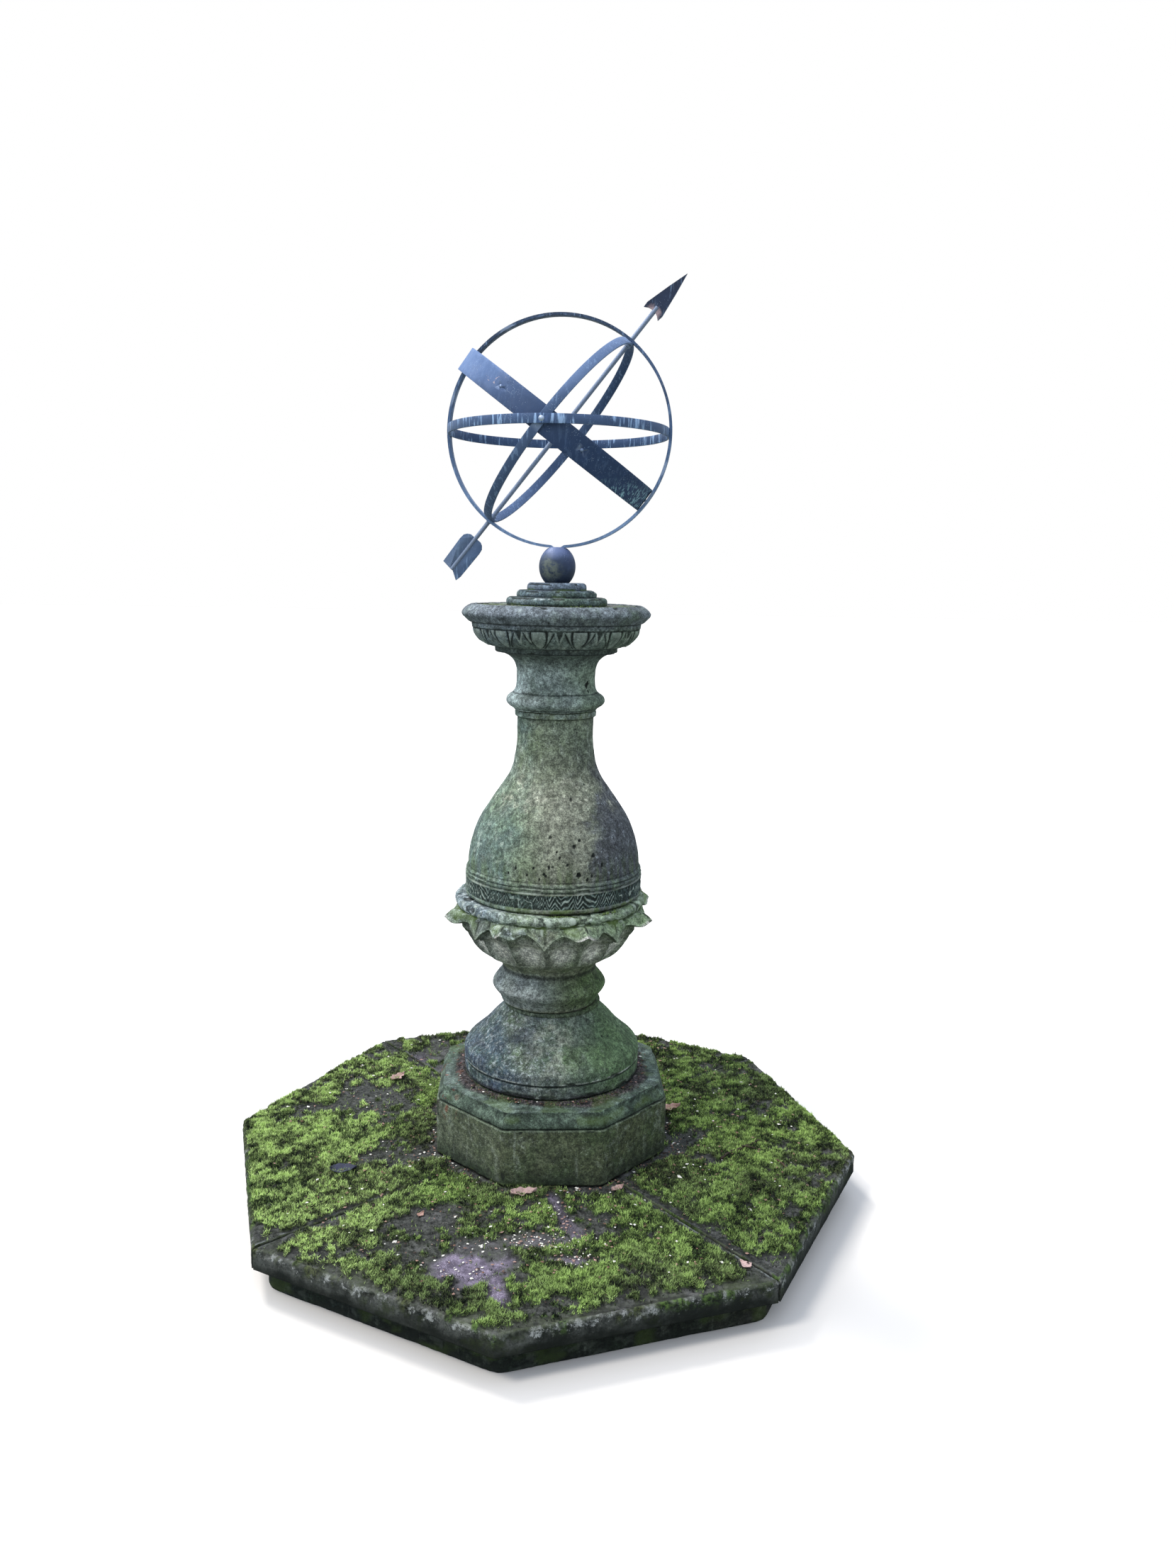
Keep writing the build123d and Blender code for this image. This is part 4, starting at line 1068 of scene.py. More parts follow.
def card_uv(ncards, verts_per):
    """A separate little square of the bake map for each card."""
    side = int(math.ceil(math.sqrt(ncards)))
    i = np.arange(ncards)
    ox, oy = (i % side) / side, (i // side) / side
    s = 0.86 / side
    if verts_per == 3:
        loc = np.array([[0, 0], [1, 0], [0.5, 1]]) * s + 0.07 / side
    else:
        loc = np.array([[0, 0], [1, 0], [1, 1], [0, 1]]) * s + 0.07 / side
    return (np.stack([ox, oy], 1)[:, None, :] + loc[None]).reshape(-1, 2)


def blades(name, pts, z, tint, rg, lo=3.5, hi=8.5, width=1.5, per=3, lean=(15, 65)):
    """Moss stems: little three-cornered blades in clusters."""
    n = len(pts)
    tot = n * per
    base = np.repeat(np.column_stack([pts, z]), per, 0)
    az = rg.uniform(0, 2 * np.pi, tot)
    ln = rg.uniform(lo, hi, tot) * MM
    tl = np.radians(rg.uniform(lean[0], lean[1], tot))
    wd = rg.uniform(0.7, 1.3, tot) * width * MM
    dirv = np.stack([np.cos(az) * np.sin(tl), np.sin(az) * np.sin(tl), np.cos(tl)], 1)
    side = np.stack([-np.sin(az), np.cos(az), np.zeros(tot)], 1)
    base = base + np.stack([rg.normal(0, 1.4, tot), rg.normal(0, 1.4, tot), np.full(tot, -1.0)], 1) * MM
    v = np.stack([base - side * wd[:, None] / 2, base + side * wd[:, None] / 2, base + dirv * ln[:, None]], 1)
    verts = v.reshape(-1, 3)
    faces = np.arange(3 * tot).reshape(-1, 3)
    tn = np.repeat(tint, per) + rg.uniform(-0.32, 0.32, tot)
    t3 = np.stack([tn - 0.25, tn - 0.25, tn + 0.2], 1).ravel()
    return make_object(name, verts, faces, {"tint": t3}, card_uv(tot, 3), smooth_shade=False)


def foundation(name, ncol=560):
    zr = [(600, 0), (731, 0), (736, 1.5), (738, 5)] + [(738, 5 + 44 * k / 13) for k in range(1, 14)] + [(736.5, 52.5), (733, 54), (720, 54), (600, 54)]
    prof = np.array(zr, float) * MM
    nrm = normals_of(prof)
    ph = -np.pi + np.arange(ncol) * 2 * np.pi / ncol
    off = math.radians(BEAR)
    w = (ph - off) % (np.pi / 4) - np.pi / 8
    f = math.cos(math.pi / 8) / np.cos(w)
    PH = np.broadcast_to(ph, (len(prof), ncol))
    A = np.broadcast_to(prof[:, :1], PH.shape)
    Z = np.broadcast_to(prof[:, 1:], PH.shape)
    R = A * f
    R = R - 5 * MM * smooth(6 * MM, 0, A - R) * 0.6
    P = np.stack([PC[0] + R * np.cos(PH), PC[1] + R * np.sin(PH), Z], -1)
    h = MM * (2.4 * fbm(P, 11.0, 4, 0.55, 121) + 1.4 * fbm(P, 48.0, 3, 0.6, 122) + 0.6 * fbm(P, 150.0, 2, 0.6, 123) - 1.2)
    edge = np.minimum(np.arange(len(prof)), np.arange(len(prof))[::-1])[:, None]
    h = h * np.clip(edge / 3.0, 0, 1)
    h = np.where(Z < 0.003, np.minimum(h, 0), h)
    X = P[..., 0] + h * nrm[:, :1] * np.cos(PH)
    Y = P[..., 1] + h * nrm[:, :1] * np.sin(PH)
    Z2 = np.maximum(Z + h * nrm[:, 1:] * 0.3, 0.0)
    moss = smooth(0.05, 0.5, fbm(P, 16.0, 4, 0.6, 124))
    return tube_grid(name, X, Y, Z2, {"cav": (h - blur(h, 4)) / MM, "moss": moss})


# ====================================================================== finishes of the stones
def capital_extra(k, col):
    x, y, z = k.sep()
    zr = k.math("MULTIPLY", k.math("SUBTRACT", z, G), 1000.0)
    # pinkish grey on the rim moulding, dark soil on the ledge
    rim = k.mul(k.ramp(zr, 1268, 1286), 0.75)
    pink = k.mix(k.noise(40.0, 6.0, 0.65, seed=2), srgb(90, 94, 100), srgb(138, 144, 150))
    col = k.mix(k.mul(rim, k.ramp(k.noise(13.0, 5.0, 0.6, seed=5), 0.3, 0.55)), col, pink)
    low = k.mul(k.ramp(zr, 1204, 1160), 0.85)
    palegreen = k.mix(k.ramp(k.add(x, k.mul(k.math("SUBTRACT", k.noise(12.0, 5.0, 0.6, seed=8), 0.5), 0.16)), 0.06, -0.03), srgb(130, 144, 124), srgb(194, 206, 200))
    col = k.mix(k.mul(low, k.ramp(k.noise(8.0, 5.0, 0.6, seed=7), 0.34, 0.6)), col, palegreen)
    # painted shade under the bowl and in its carving
    under = k.mul(k.ramp(zr, 1196, 1212), k.ramp(zr, 1232, 1222), 0.55)
    col = k.mix(under, col, srgb(48, 56, 52))
    # dark lines in the creases between the mouldings: painted shade
    for zz in (1283.0, 1270.2, 1227.5, 1215.5, 1120.0, 1083.0):
        ln = k.ramp(k.math("ABSOLUTE", k.math("SUBTRACT", zr, zz)), 2.4, 0.8)
        col = k.mix(k.mul(ln, 0.6), col, srgb(26, 32, 32))
    col = k.mix(k.mul(k.attr("egg"), 0.12), col, srgb(110, 122, 108))
    # painted shade in the carved grooves round the eggs and darts
    col = k.mix(k.mul(k.attr("groove"), 0.50), col, srgb(34, 42, 42))
    col = k.mix(k.attr("hole"), col, srgb(18, 20, 20))
    col = k.mix(k.mul(k.attr("soil"), 0.8), col, k.mix(k.noise(120.0, 4.0, 0.6, seed=1), srgb(44, 38, 32), srgb(96, 84, 70)))
    return col


def shaft_extra(k, col):
    x, y, z = k.sep()
    zr = k.math("MULTIPLY", k.math("SUBTRACT", z, G), 1000.0)
    front = k.ramp(y, 0.04, -0.12)
    n = k.noise(6.5, 5.0, 0.6, seed=12)
    # warm beige face of the bulb
    cx = k.math("ABSOLUTE", k.math("DIVIDE", k.math("SUBTRACT", x, 0.02), 0.13))
    warm = k.mul(k.ramp(k.add(cx, k.mul(k.math("SUBTRACT", n, 0.5), 1.6)), 1.05, 0.35), k.ramp(zr, 1040, 860))
    beige = k.mix(k.noise(60.0, 8.0, 0.7, seed=13), srgb(104, 102, 88), srgb(160, 160, 140))
    col = k.mix(k.mul(warm, 0.72), col, beige)
    # green wash on the left of the face
    gl = k.ramp(k.math("ABSOLUTE", k.math("DIVIDE", k.add(x, 0.10), 0.075)), 1.2, 0.3)
    col = k.mix(k.mul(gl, k.ramp(k.noise(10.0, 5.0, 0.6, seed=14), 0.35, 0.6), 0.45, k.ramp(zr, 960, 840)), col,
                k.mix(k.ramp(k.noise(50.0, 6.0, 0.7, seed=4), 0.4, 0.6), srgb(88, 106, 74), srgb(140, 158, 124)))
    # dark stain down the right side with a ragged edge
    st = k.add(k.math("DIVIDE", k.math("SUBTRACT", x, 0.062), 0.05), k.mul(k.math("SUBTRACT", k.noise(16.0, 6.0, 0.65, seed=15), 0.5), 4.2))
    stain = k.mul(k.ramp(st, 0.1, 1.0), k.ramp(zr, 1010, 900), 0.82)
    dk = k.mix(k.noise(70.0, 8.0, 0.75, seed=16), srgb(38, 40, 48), srgb(98, 98, 104))
    col = k.mix(stain, col, dk)
    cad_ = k.mul(stain, k.ramp(k.noise(95.0, 8.0, 0.8, seed=22), 0.55, 0.60), k.ramp(k.noise(18.0, 4.0, 0.6, seed=23), 0.44, 0.56))
    col = k.mix(k.mul(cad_, 0.75), col, srgb(170, 178, 184))
    # ragged dark runs and blotches over the face
    rn = k.noise(1.0, 7.0, 0.68, vec=k.scaled(42, 42, 11), seed=24)
    col = k.mix(k.mul(k.ramp(rn, 0.55, 0.64), k.ramp(zr, 1060, 960), k.ramp(zr, 705, 715), 0.45), col, srgb(62, 66, 60))
    # green streaks rising from the fillets
    sg = k.noise(1.0, 4.0, 0.6, vec=k.scaled(60, 60, 5), seed=17)
    foot = k.mul(k.ramp(zr, 770, 706), k.ramp(sg, 0.42, 0.6))
    col = k.mix(k.mul(foot, 0.6), col, srgb(84, 100, 56))
    # carved band: dark ground, paler raised lines
    ground = k.mix(k.noise(26.0, 5.0, 0.6, seed=18), srgb(30, 42, 44), srgb(56, 70, 66))
    col = k.mix(k.mul(k.attr("frieze"), 0.85), col, ground)
    col = k.mix(k.mul(k.attr("line"), 0.55), col, k.mix(k.noise(60.0, 5.0, 0.6, seed=19), srgb(58, 76, 72), srgb(140, 158, 148)))
    fl = k.mul(k.ramp(zr, 681, 684), k.ramp(zr, 704, 701), 0.45)
    col = k.mix(fl, col, k.mix(k.noise(50.0, 5.0, 0.6, seed=20), srgb(52, 66, 62), srgb(128, 140, 126)))
    # pale blistered patches high on the neck
    pb = k.mul(k.ramp(zr, 830, 880), k.ramp(zr, 960, 900), k.ramp(k.noise(34.0, 7.0, 0.7, seed=21), 0.5, 0.62), front)
    col = k.mix(k.mul(pb, 0.7), col, srgb(180, 180, 158))
    # dark lines in the creases at the fillets: painted shade
    for zz in (1062.5, 705.5, 694.0, 684.0, 681.0):
        ln = k.ramp(k.math("ABSOLUTE", k.math("SUBTRACT", zr, zz)), 2.2, 0.7)
        col = k.mix(k.mul(ln, 0.55), col, srgb(26, 32, 30))
    cl = k.mul(k.ramp(zr, 1064, 1066), k.ramp(k.noise(40.0, 5.0, 0.65, seed=25), 0.4, 0.6), 0.6)
    col = k.mix(cl, col, srgb(140, 152, 144))
    col = k.mix(k.attr("hole"), col, srgb(16, 17, 20))
    return col


def calyx_extra(k, col):
    x, y, z = k.sep()
    zr = k.math("MULTIPLY", k.math("SUBTRACT", z, G), 1000.0)
    # painted highlight: pale, nearly white spot in the middle of each hollow
    niche_highlight_col = k.mix(k.noise(40.0, 6.0, 0.7, seed=31), srgb(200, 194, 178), srgb(255, 250, 242))
    inside = k.mul(k.ramp(zr, 470, 490), k.ramp(zr, 590, 560))
    col = k.mix(k.mul(inside, 0.45), col, k.mix(k.ramp(k.noise(26.0, 6.0, 0.7, seed=39), 0.4, 0.6), srgb(122, 126, 108), srgb(182, 184, 168)))
    col = k.mix(k.mul(k.attr("niche_highlight"), k.ramp(k.noise(30.0, 5.0, 0.6, seed=32), 0.12, 0.42), 0.97), col, niche_highlight_col)
    col = k.mix(k.mul(k.attr("shade"), 0.24), col, srgb(76, 80, 70))
    # painted shade along the ribs between the hollows
    col = k.mix(k.mul(k.attr("rib_shade"), 0.42), col, srgb(58, 66, 54))
    # painted shade under the hanging edges of the leaves
    col = k.mix(k.mul(k.attr("under"), 0.75), col, srgb(30, 34, 28))
    roll = k.mix(k.noise(90.0, 6.0, 0.75, seed=33), srgb(128, 146, 122), srgb(206, 214, 198))
    lf = k.mix(k.noise(18.0, 5.0, 0.6, seed=35), srgb(108, 128, 92), srgb(176, 188, 160))
    up = k.mul(k.ramp(zr, 560, 580), k.ramp(k.noise(14.0, 6.0, 0.65, seed=36), 0.34, 0.6),
               k.math("SUBTRACT", 1.0, k.attr("under")), k.ramp(x, -0.21, -0.08, 0.35, 1.0))
    col = k.mix(k.mul(up, 0.62), col, lf)
    # painted highlight: white on the upper faces of the leaves towards the left
    left_highlight = k.mul(k.ramp(zr, 560, 590), k.ramp(x, 0.02, -0.14), k.ramp(k.noise(64.0, 7.0, 0.75, seed=40), 0.54, 0.60))
    col = k.mix(k.mul(left_highlight, 0.7), col, srgb(206, 214, 212))
    # painted highlight along the hanging edges of the leaves
    col = k.mix(k.mul(k.attr("lip_highlight"), 0.45), col, srgb(150, 162, 136))
    col = k.mix(k.mul(k.attr("rimroll"), k.ramp(k.noise(26.0, 5.0, 0.6, seed=34), 0.38, 0.60), 0.66), col, roll)
    rb = k.mul(k.attr("rimroll"), k.ramp(x, -0.08, -0.16), 0.6)
    col = k.mix(rb, col, k.mix(k.ramp(k.noise(70.0, 6.0, 0.75, seed=49), 0.50, 0.60), srgb(84, 98, 112), srgb(204, 212, 216)))
    col = k.mix(k.mul(k.ramp(zr, 458, 446), 0.5, k.ramp(zr, 360, 372)), col,
                k.mix(k.ramp(x, -0.07, 0.05), srgb(150, 156, 160), srgb(72, 92, 52)))
    ch = k.mul(k.attr("chip"), k.ramp(k.noise(80.0, 4.0, 0.6, seed=37), 0.35, 0.5))
    col = k.mix(k.mul(ch, 0.8), col, k.mix(k.noise(30.0, 3.0, 0.5, seed=38), srgb(190, 166, 160), srgb(226, 226, 220)))
    # painted shade under the overhang
    overhang_shade = k.mul(k.ramp(zr, 456, 449), k.ramp(zr, 438, 446), 0.7)
    col = k.mix(overhang_shade, col, srgb(38, 40, 32))
    return col


def bell_extra(k, col):
    x, y, z = k.sep()
    zr = k.math("MULTIPLY", k.math("SUBTRACT", z, G), 1000.0)
    # white-flecked left half, green right half
    n = k.noise(5.5, 5.0, 0.6, seed=41)
    t = k.add(k.math("DIVIDE", k.math("SUBTRACT", x, 0.02), 0.13), k.mul(k.math("SUBTRACT", n, 0.5), 1.5))
    fleck = k.ramp(k.noise(85.0, 9.0, 0.80, seed=42), 0.52, 0.58)
    col = k.mix(k.mul(fleck, k.ramp(t, 0.25, -0.5), 0.62), col, srgb(166, 172, 170))
    pale = k.mul(k.ramp(k.math("ABSOLUTE", k.math("DIVIDE", k.add(x, 0.01), 0.075)), 1.1, 0.3), k.ramp(k.noise(22.0, 7.0, 0.7, seed=43), 0.45, 0.6))
    col = k.mix(k.mul(pale, 0.42), col, srgb(160, 162, 146))
    dkb = k.mul(k.ramp(t, 0.1, -0.7), k.ramp(k.noise(13.0, 6.0, 0.65, seed=48), 0.46, 0.60), 0.6)
    col = k.mix(dkb, col, srgb(44, 50, 66))
    gr = k.mul(k.ramp(t, 0.0, 0.7), k.ramp(k.noise(9.0, 6.0, 0.6, seed=44), 0.28, 0.52))
    col = k.mix(k.mul(gr, 0.62), col, k.mix(k.noise(60.0, 6.0, 0.7, seed=45), srgb(56, 76, 50), srgb(108, 130, 88)))
    # white worn scar and a purple-black damp line at the foot
    sc = k.mul(k.ramp(k.math("ABSOLUTE", k.math("SUBTRACT", zr, 222.5)), 3.4, 1.2), k.ramp(k.noise(16.0, 6.0, 0.7, seed=46), 0.46, 0.56))
    col = k.mix(k.mul(sc, 0.75), col, srgb(170, 172, 164))
    # painted shade in the groove below the disc
    gv = k.ramp(k.math("ABSOLUTE", k.math("SUBTRACT", zr, 217.4)), 3.0, 1.4)
    col = k.mix(k.mul(gv, 0.75), col, srgb(26, 32, 32))
    ft = k.mul(k.ramp(zr, 200, 188), 0.85, k.ramp(k.noise(8.0, 4.0, 0.6, seed=47), 0.32, 0.5))
    col = k.mix(ft, col, srgb(34, 28, 36))
    rimy = k.mul(k.ramp(k.math("ABSOLUTE", k.math("SUBTRACT", zr, 354)), 7.0, 4.0), 0.5)
    col = k.mix(rimy, col, srgb(66, 78, 42))
    return col


def plinth_extra(k, col):
    x, y, z = k.sep()
    zr = k.math("MULTIPLY", k.math("SUBTRACT", z, G), 1000.0)
    # blue-green on the moulding and ledge, olive face, dark foot
    up = k.mul(k.ramp(zr, 137, 146), 0.75)
    top = k.mix(k.ramp(k.noise(20.0, 7.0, 0.7, seed=51), 0.4, 0.62), srgb(44, 58, 52), srgb(92, 108, 94))
    col = k.mix(up, col, top)
    foot = k.mul(k.ramp(zr, 62, 12), 0.8, k.ramp(k.noise(9.0, 5.0, 0.6, seed=52), 0.25, 0.5))
    col = k.mix(foot, col, srgb(34, 44, 30))
    # painted highlight along the upper arris of the face
    lit = k.mul(k.ramp(k.math("ABSOLUTE", k.math("SUBTRACT", zr, 139.0)), 1.8, 0.8), k.ramp(k.noise(14.0, 4.0, 0.6, seed=55), 0.35, 0.55))
    col = k.mix(k.mul(lit, 0.5), col, srgb(124, 134, 112))
    # painted shade in the crease of the moulding
    line = k.ramp(k.math("ABSOLUTE", k.math("SUBTRACT", zr, 142.4)), 2.2, 1.2)
    col = k.mix(k.mul(line, 0.8), col, srgb(20, 26, 20))
    # painted highlight along the top arris of the ledge
    tl = k.mul(k.ramp(k.math("ABSOLUTE", k.math("SUBTRACT", zr, 178.6)), 2.2, 0.8), k.ramp(k.noise(18.0, 4.0, 0.6, seed=56), 0.38, 0.55))
    col = k.mix(k.mul(tl, 0.45), col, srgb(122, 134, 128))
    so = k.mix(k.ramp(k.noise(150.0, 5.0, 0.7, seed=53), 0.4, 0.62), srgb(24, 22, 24), srgb(92, 82, 80))
    col = k.mix(k.mul(k.attr("soil"), 0.95), col, so)
    red = k.mul(k.ramp(k.noise(60.0, 3.0, 0.5, seed=54), 0.6, 0.66), k.ramp(x, -0.2, -0.26), k.ramp(zr, 90, 130), 0.6)
    col = k.mix(red, col, srgb(124, 62, 48))
    return col


def cap_extra(k, col):
    x, y, z = k.sep()
    zr = k.math("MULTIPLY", k.math("SUBTRACT", z, G), 1000.0)
    blue = k.mix(k.noise(24.0, 6.0, 0.65, seed=61), srgb(84, 94, 112), srgb(136, 148, 164))
    col = k.mix(k.mul(k.ramp(zr, 1350, 1360), 0.72), col, blue)
    ch = k.mul(k.attr("chip"), k.ramp(k.noise(90.0, 4.0, 0.6, seed=62), 0.4, 0.55))
    col = k.mix(k.mul(ch, k.ramp(zr, 1352, 1344), 0.55), col, srgb(214, 218, 212))
    # dark joint line at the cap's foot; painted shade in the corners of the steps
    for zz in (1324.5, 1342.0, 1358.0):
        ln = k.ramp(k.math("ABSOLUTE", k.math("SUBTRACT", zr, zz)), 3.0, 1.0)
        col = k.mix(k.mul(ln, 0.7), col, srgb(24, 30, 32))
    return col


def paving_material():
    k = Mat("paving_stone")
    x, y, z = k.sep()
    moss, soil, bare, side, rim = (k.attr(a) for a in ("moss", "soil", "bare", "side", "rim"))
    n1 = k.noise(7.0, 6.0, 0.62, seed=1)
    n2 = k.noise(42.0, 8.0, 0.7, seed=2)
    n3 = k.noise(190.0, 6.0, 0.72, seed=3)
    base = k.mix(k.ramp(n1, 0.40, 0.60), srgb(44, 44, 42), srgb(80, 80, 76))
    base = k.mix(k.mul(k.ramp(n2, 0.5, 0.62), 0.5), base, srgb(120, 118, 114))
    base = k.mix(k.mul(k.ramp(n3, 0.5, 0.7), 0.5), base, srgb(40, 38, 38))
    lav = k.mix(k.ramp(n2, 0.40, 0.62), srgb(84, 76, 88), srgb(138, 126, 142))
    lav = k.mix(k.mul(k.ramp(n3, 0.46, 0.62), 0.6), lav, srgb(92, 84, 92))
    grit = k.mul(k.ramp(k.voronoi(260.0), 0.30, 0.16), k.ramp(k.noise(30.0, 3.0, 0.5, seed=8), 0.42, 0.55))
    lav = k.mix(k.mul(grit, 0.8), lav, srgb(196, 184, 196))
    col = k.mix(bare, base, lav)
    # olive film of algae on bare stone away from the worn patches
    alg = k.mul(k.ramp(k.noise(13.0, 6.0, 0.65, seed=4), 0.36, 0.6), k.math("SUBTRACT", 1.0, bare), 0.6)
    col = k.mix(alg, col, srgb(74, 84, 48))
    sc = k.mix(k.ramp(k.noise(90.0, 7.0, 0.78, seed=5), 0.40, 0.62), srgb(22, 22, 22), srgb(80, 80, 75))
    sc = k.mix(k.mul(k.ramp(k.noise(34.0, 6.0, 0.7, seed=15), 0.54, 0.64), 0.7), sc, srgb(104, 102, 100))
    sc = k.mix(k.mul(k.ramp(k.voronoi(240.0), 0.26, 0.12), k.ramp(k.noise(18.0, 4.0, 0.6, seed=13), 0.5, 0.62), 0.8), sc, srgb(150, 142, 132))
    col = k.mix(k.mul(soil, 0.95), col, sc)
    # sides: grey-green with pale bloom, black grime low down
    sd = k.mix(k.ramp(k.noise(11.0, 7.0, 0.68, seed=6), 0.40, 0.60), srgb(32, 35, 31), srgb(92, 93, 87))
    zr = k.math("MULTIPLY", z, 1000.0)
    bl = k.add(k.noise(30.0, 9.0, 0.8, seed=7), k.ramp(zr, 74, 106, -0.10, 0.042))
    sd = k.mix(k.mul(k.ramp(bl, 0.53, 0.58), 0.8), sd, srgb(190, 190, 184))
    bl2 = k.add(k.noise(110.0, 7.0, 0.75, seed=17), k.ramp(zr, 74, 106, -0.08, 0.02))
    sd = k.mix(k.mul(k.ramp(bl2, 0.52, 0.60), 0.5), sd, srgb(128, 128, 120))
    sd = k.mix(k.mul(k.ramp(k.noise(16.0, 6.0, 0.66, seed=14), 0.50, 0.62), 0.7), sd, srgb(48, 56, 28))
    sd = k.mix(k.mul(k.ramp(zr, 88, 66), 0.75), sd, srgb(22, 26, 20))
    sd = k.mix(k.mul(k.ramp(n3, 0.50, 0.62), 0.6), sd, srgb(28, 30, 26))
    col = k.mix(side, col, sd)
    # moss under the stems
    mb = k.mix(k.ramp(k.noise(95.0, 7.0, 0.75, seed=9), 0.42, 0.62), srgb(20, 27, 15), srgb(86, 110, 52))
    ol = k.mix(k.ramp(k.noise(70.0, 6.0, 0.75, seed=10), 0.42, 0.62), srgb(28, 30, 20), srgb(88, 94, 58))
    hue = k.ramp(k.add(k.noise(4.5, 4.0, 0.55, seed=11), k.mul(x, 0.10)), 0.42, 0.58)
    mcol = k.mix(hue, ol, mb)
    cav = k.attr("cav")
    # painted shade in the hollows of the ground and the chips of the sides
    col = k.mix(k.mul(k.ramp(cav, -0.2, -1.4), 0.6), col, srgb(22, 22, 18))
    col = k.mix(moss, col, mcol)
    # painted highlight on the arrises beside the open joints, stronger on one side
    col = k.mix(k.mul(k.attr("joint_highlight"), k.ramp(k.noise(38.0, 6.0, 0.7, seed=18), 0.40, 0.56), 0.8), col, srgb(126, 130, 126))
    b = k.bump(n2, 0.7, 0.006)
    b = k.bump(n3, 0.8, 0.002, b)
    return k.done(col, 0.9, 0.0, b, 0.2)


def moss_material(name="moss", lo=srgb(13, 20, 12), hi=srgb(160, 186, 102), lo2=srgb(16, 23, 14), hi2=srgb(134, 154, 92)):
    k = Mat(name)
    x, y, z = k.sep()
    t = k.attr("tint")
    bright = k.mix(k.ramp(t, -0.1, 1.0), lo, hi)
    olive = k.mix(k.ramp(t, -0.1, 1.0), lo2, hi2)
    hue = k.ramp(k.add(k.noise(4.5, 4.0, 0.55, seed=11), k.mul(x, 0.10)), 0.42, 0.58)
    col = k.mix(hue, olive, bright)
    pale = k.mix(k.ramp(t, -0.1, 1.0), srgb(20, 30, 16), srgb(190, 214, 128))
    col = k.mix(k.ramp(x, -0.25, -0.50), col, pale)
    col = k.mix(k.mul(k.ramp(k.noise(34.0, 4.0, 0.6, seed=12), 0.56, 0.66), 0.30), col, srgb(64, 62, 48))
    return k.done(col, 0.8, 0.0, None, 0.2)


# ====================================================================== build the stones
made = {}


def build(name, node, ob, mat):
    ob.data.materials.clear()
    ob.data.materials.append(mat)
    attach(ob, "pedestal")
    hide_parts(node)
    made[name] = ob
    return ob


NC = 640
build("bell", "base_bell", turned("bell_weathered", BELL, 2.3, NC, bell_relief),
      stone("bell_stone", srgb(62, 74, 90), srgb(86, 94, 88), srgb(84, 104, 80), half=0.2, pale=0.30, green=0.35,
            streaks=0.35, pits=0.5, seed=0.0, extra=bell_extra))
build("calyx", "calyx_section", turned("calyx_weathered", CALYX, 2.3, NC, calyx_relief, cx=-8 * MM),
      stone("calyx_stone", srgb(104, 110, 108), srgb(122, 124, 104), srgb(92, 112, 70), half=0.2, cx=-8 * MM, pale=0.5,
            green=0.4, streaks=0.3, pits=0.35, seed=20.0, extra=calyx_extra, mossy=0.8, edge=0.7))
build("shaft", "baluster_shaft", turned("shaft_weathered", SHAFT, 4.0, int(NC * 1.4), shaft_relief),
      stone("shaft_stone", srgb(104, 120, 114), srgb(114, 122, 102), srgb(84, 92, 82), half=0.17, pale=0.5, green=0.3,
            streaks=0.45, pits=0.7, seed=40.0, extra=shaft_extra, mossy=0.7))
build("capital", "capital", turned("capital_weathered", CAPITAL, 3.0, NC, capital_relief),
      stone("capital_stone", srgb(104, 114, 116), srgb(106, 116, 110), srgb(86, 98, 84), half=0.2, pale=0.45, green=0.18,
            streaks=0.3, pits=0.45, seed=60.0, extra=capital_extra, mossy=0.6, edge=0.28))
build("cap", "stepped_cap", turned("cap_weathered", CAP, 2.0, NC, cap_relief, loop=True),
      stone("cap_stone", srgb(98, 112, 120), srgb(92, 106, 104), srgb(86, 100, 92), half=0.12, pale=0.35, green=0.25,
            streaks=0.15, pits=0.4, seed=80.0, extra=cap_extra, mossy=0.5, edge=0.22))
build("plinth", "plinth_block", plinth("plinth_weathered", NC),
      stone("plinth_stone", srgb(92, 98, 78), srgb(84, 90, 66), srgb(78, 84, 58), half=0.28, pale=0.32, green=0.5,
            streaks=0.30, pits=0.4, seed=100.0, extra=plinth_extra, mossy=0.35, greencol=srgb(60, 80, 46), edge=0.3))
build("foundation", "foundation_course", foundation("foundation_weathered", 560),
      stone("foundation_stone", srgb(30, 36, 32), srgb(28, 32, 26), srgb(46, 46, 38), half=0.7, pale=0.10, green=0.5,
            streaks=0.35, pits=0.4, seed=120.0, darkcol=srgb(12, 18, 18), greencol=srgb(26, 38, 22), mossy=0.22,
            edge=0.15, palecol=srgb(120, 124, 112)))

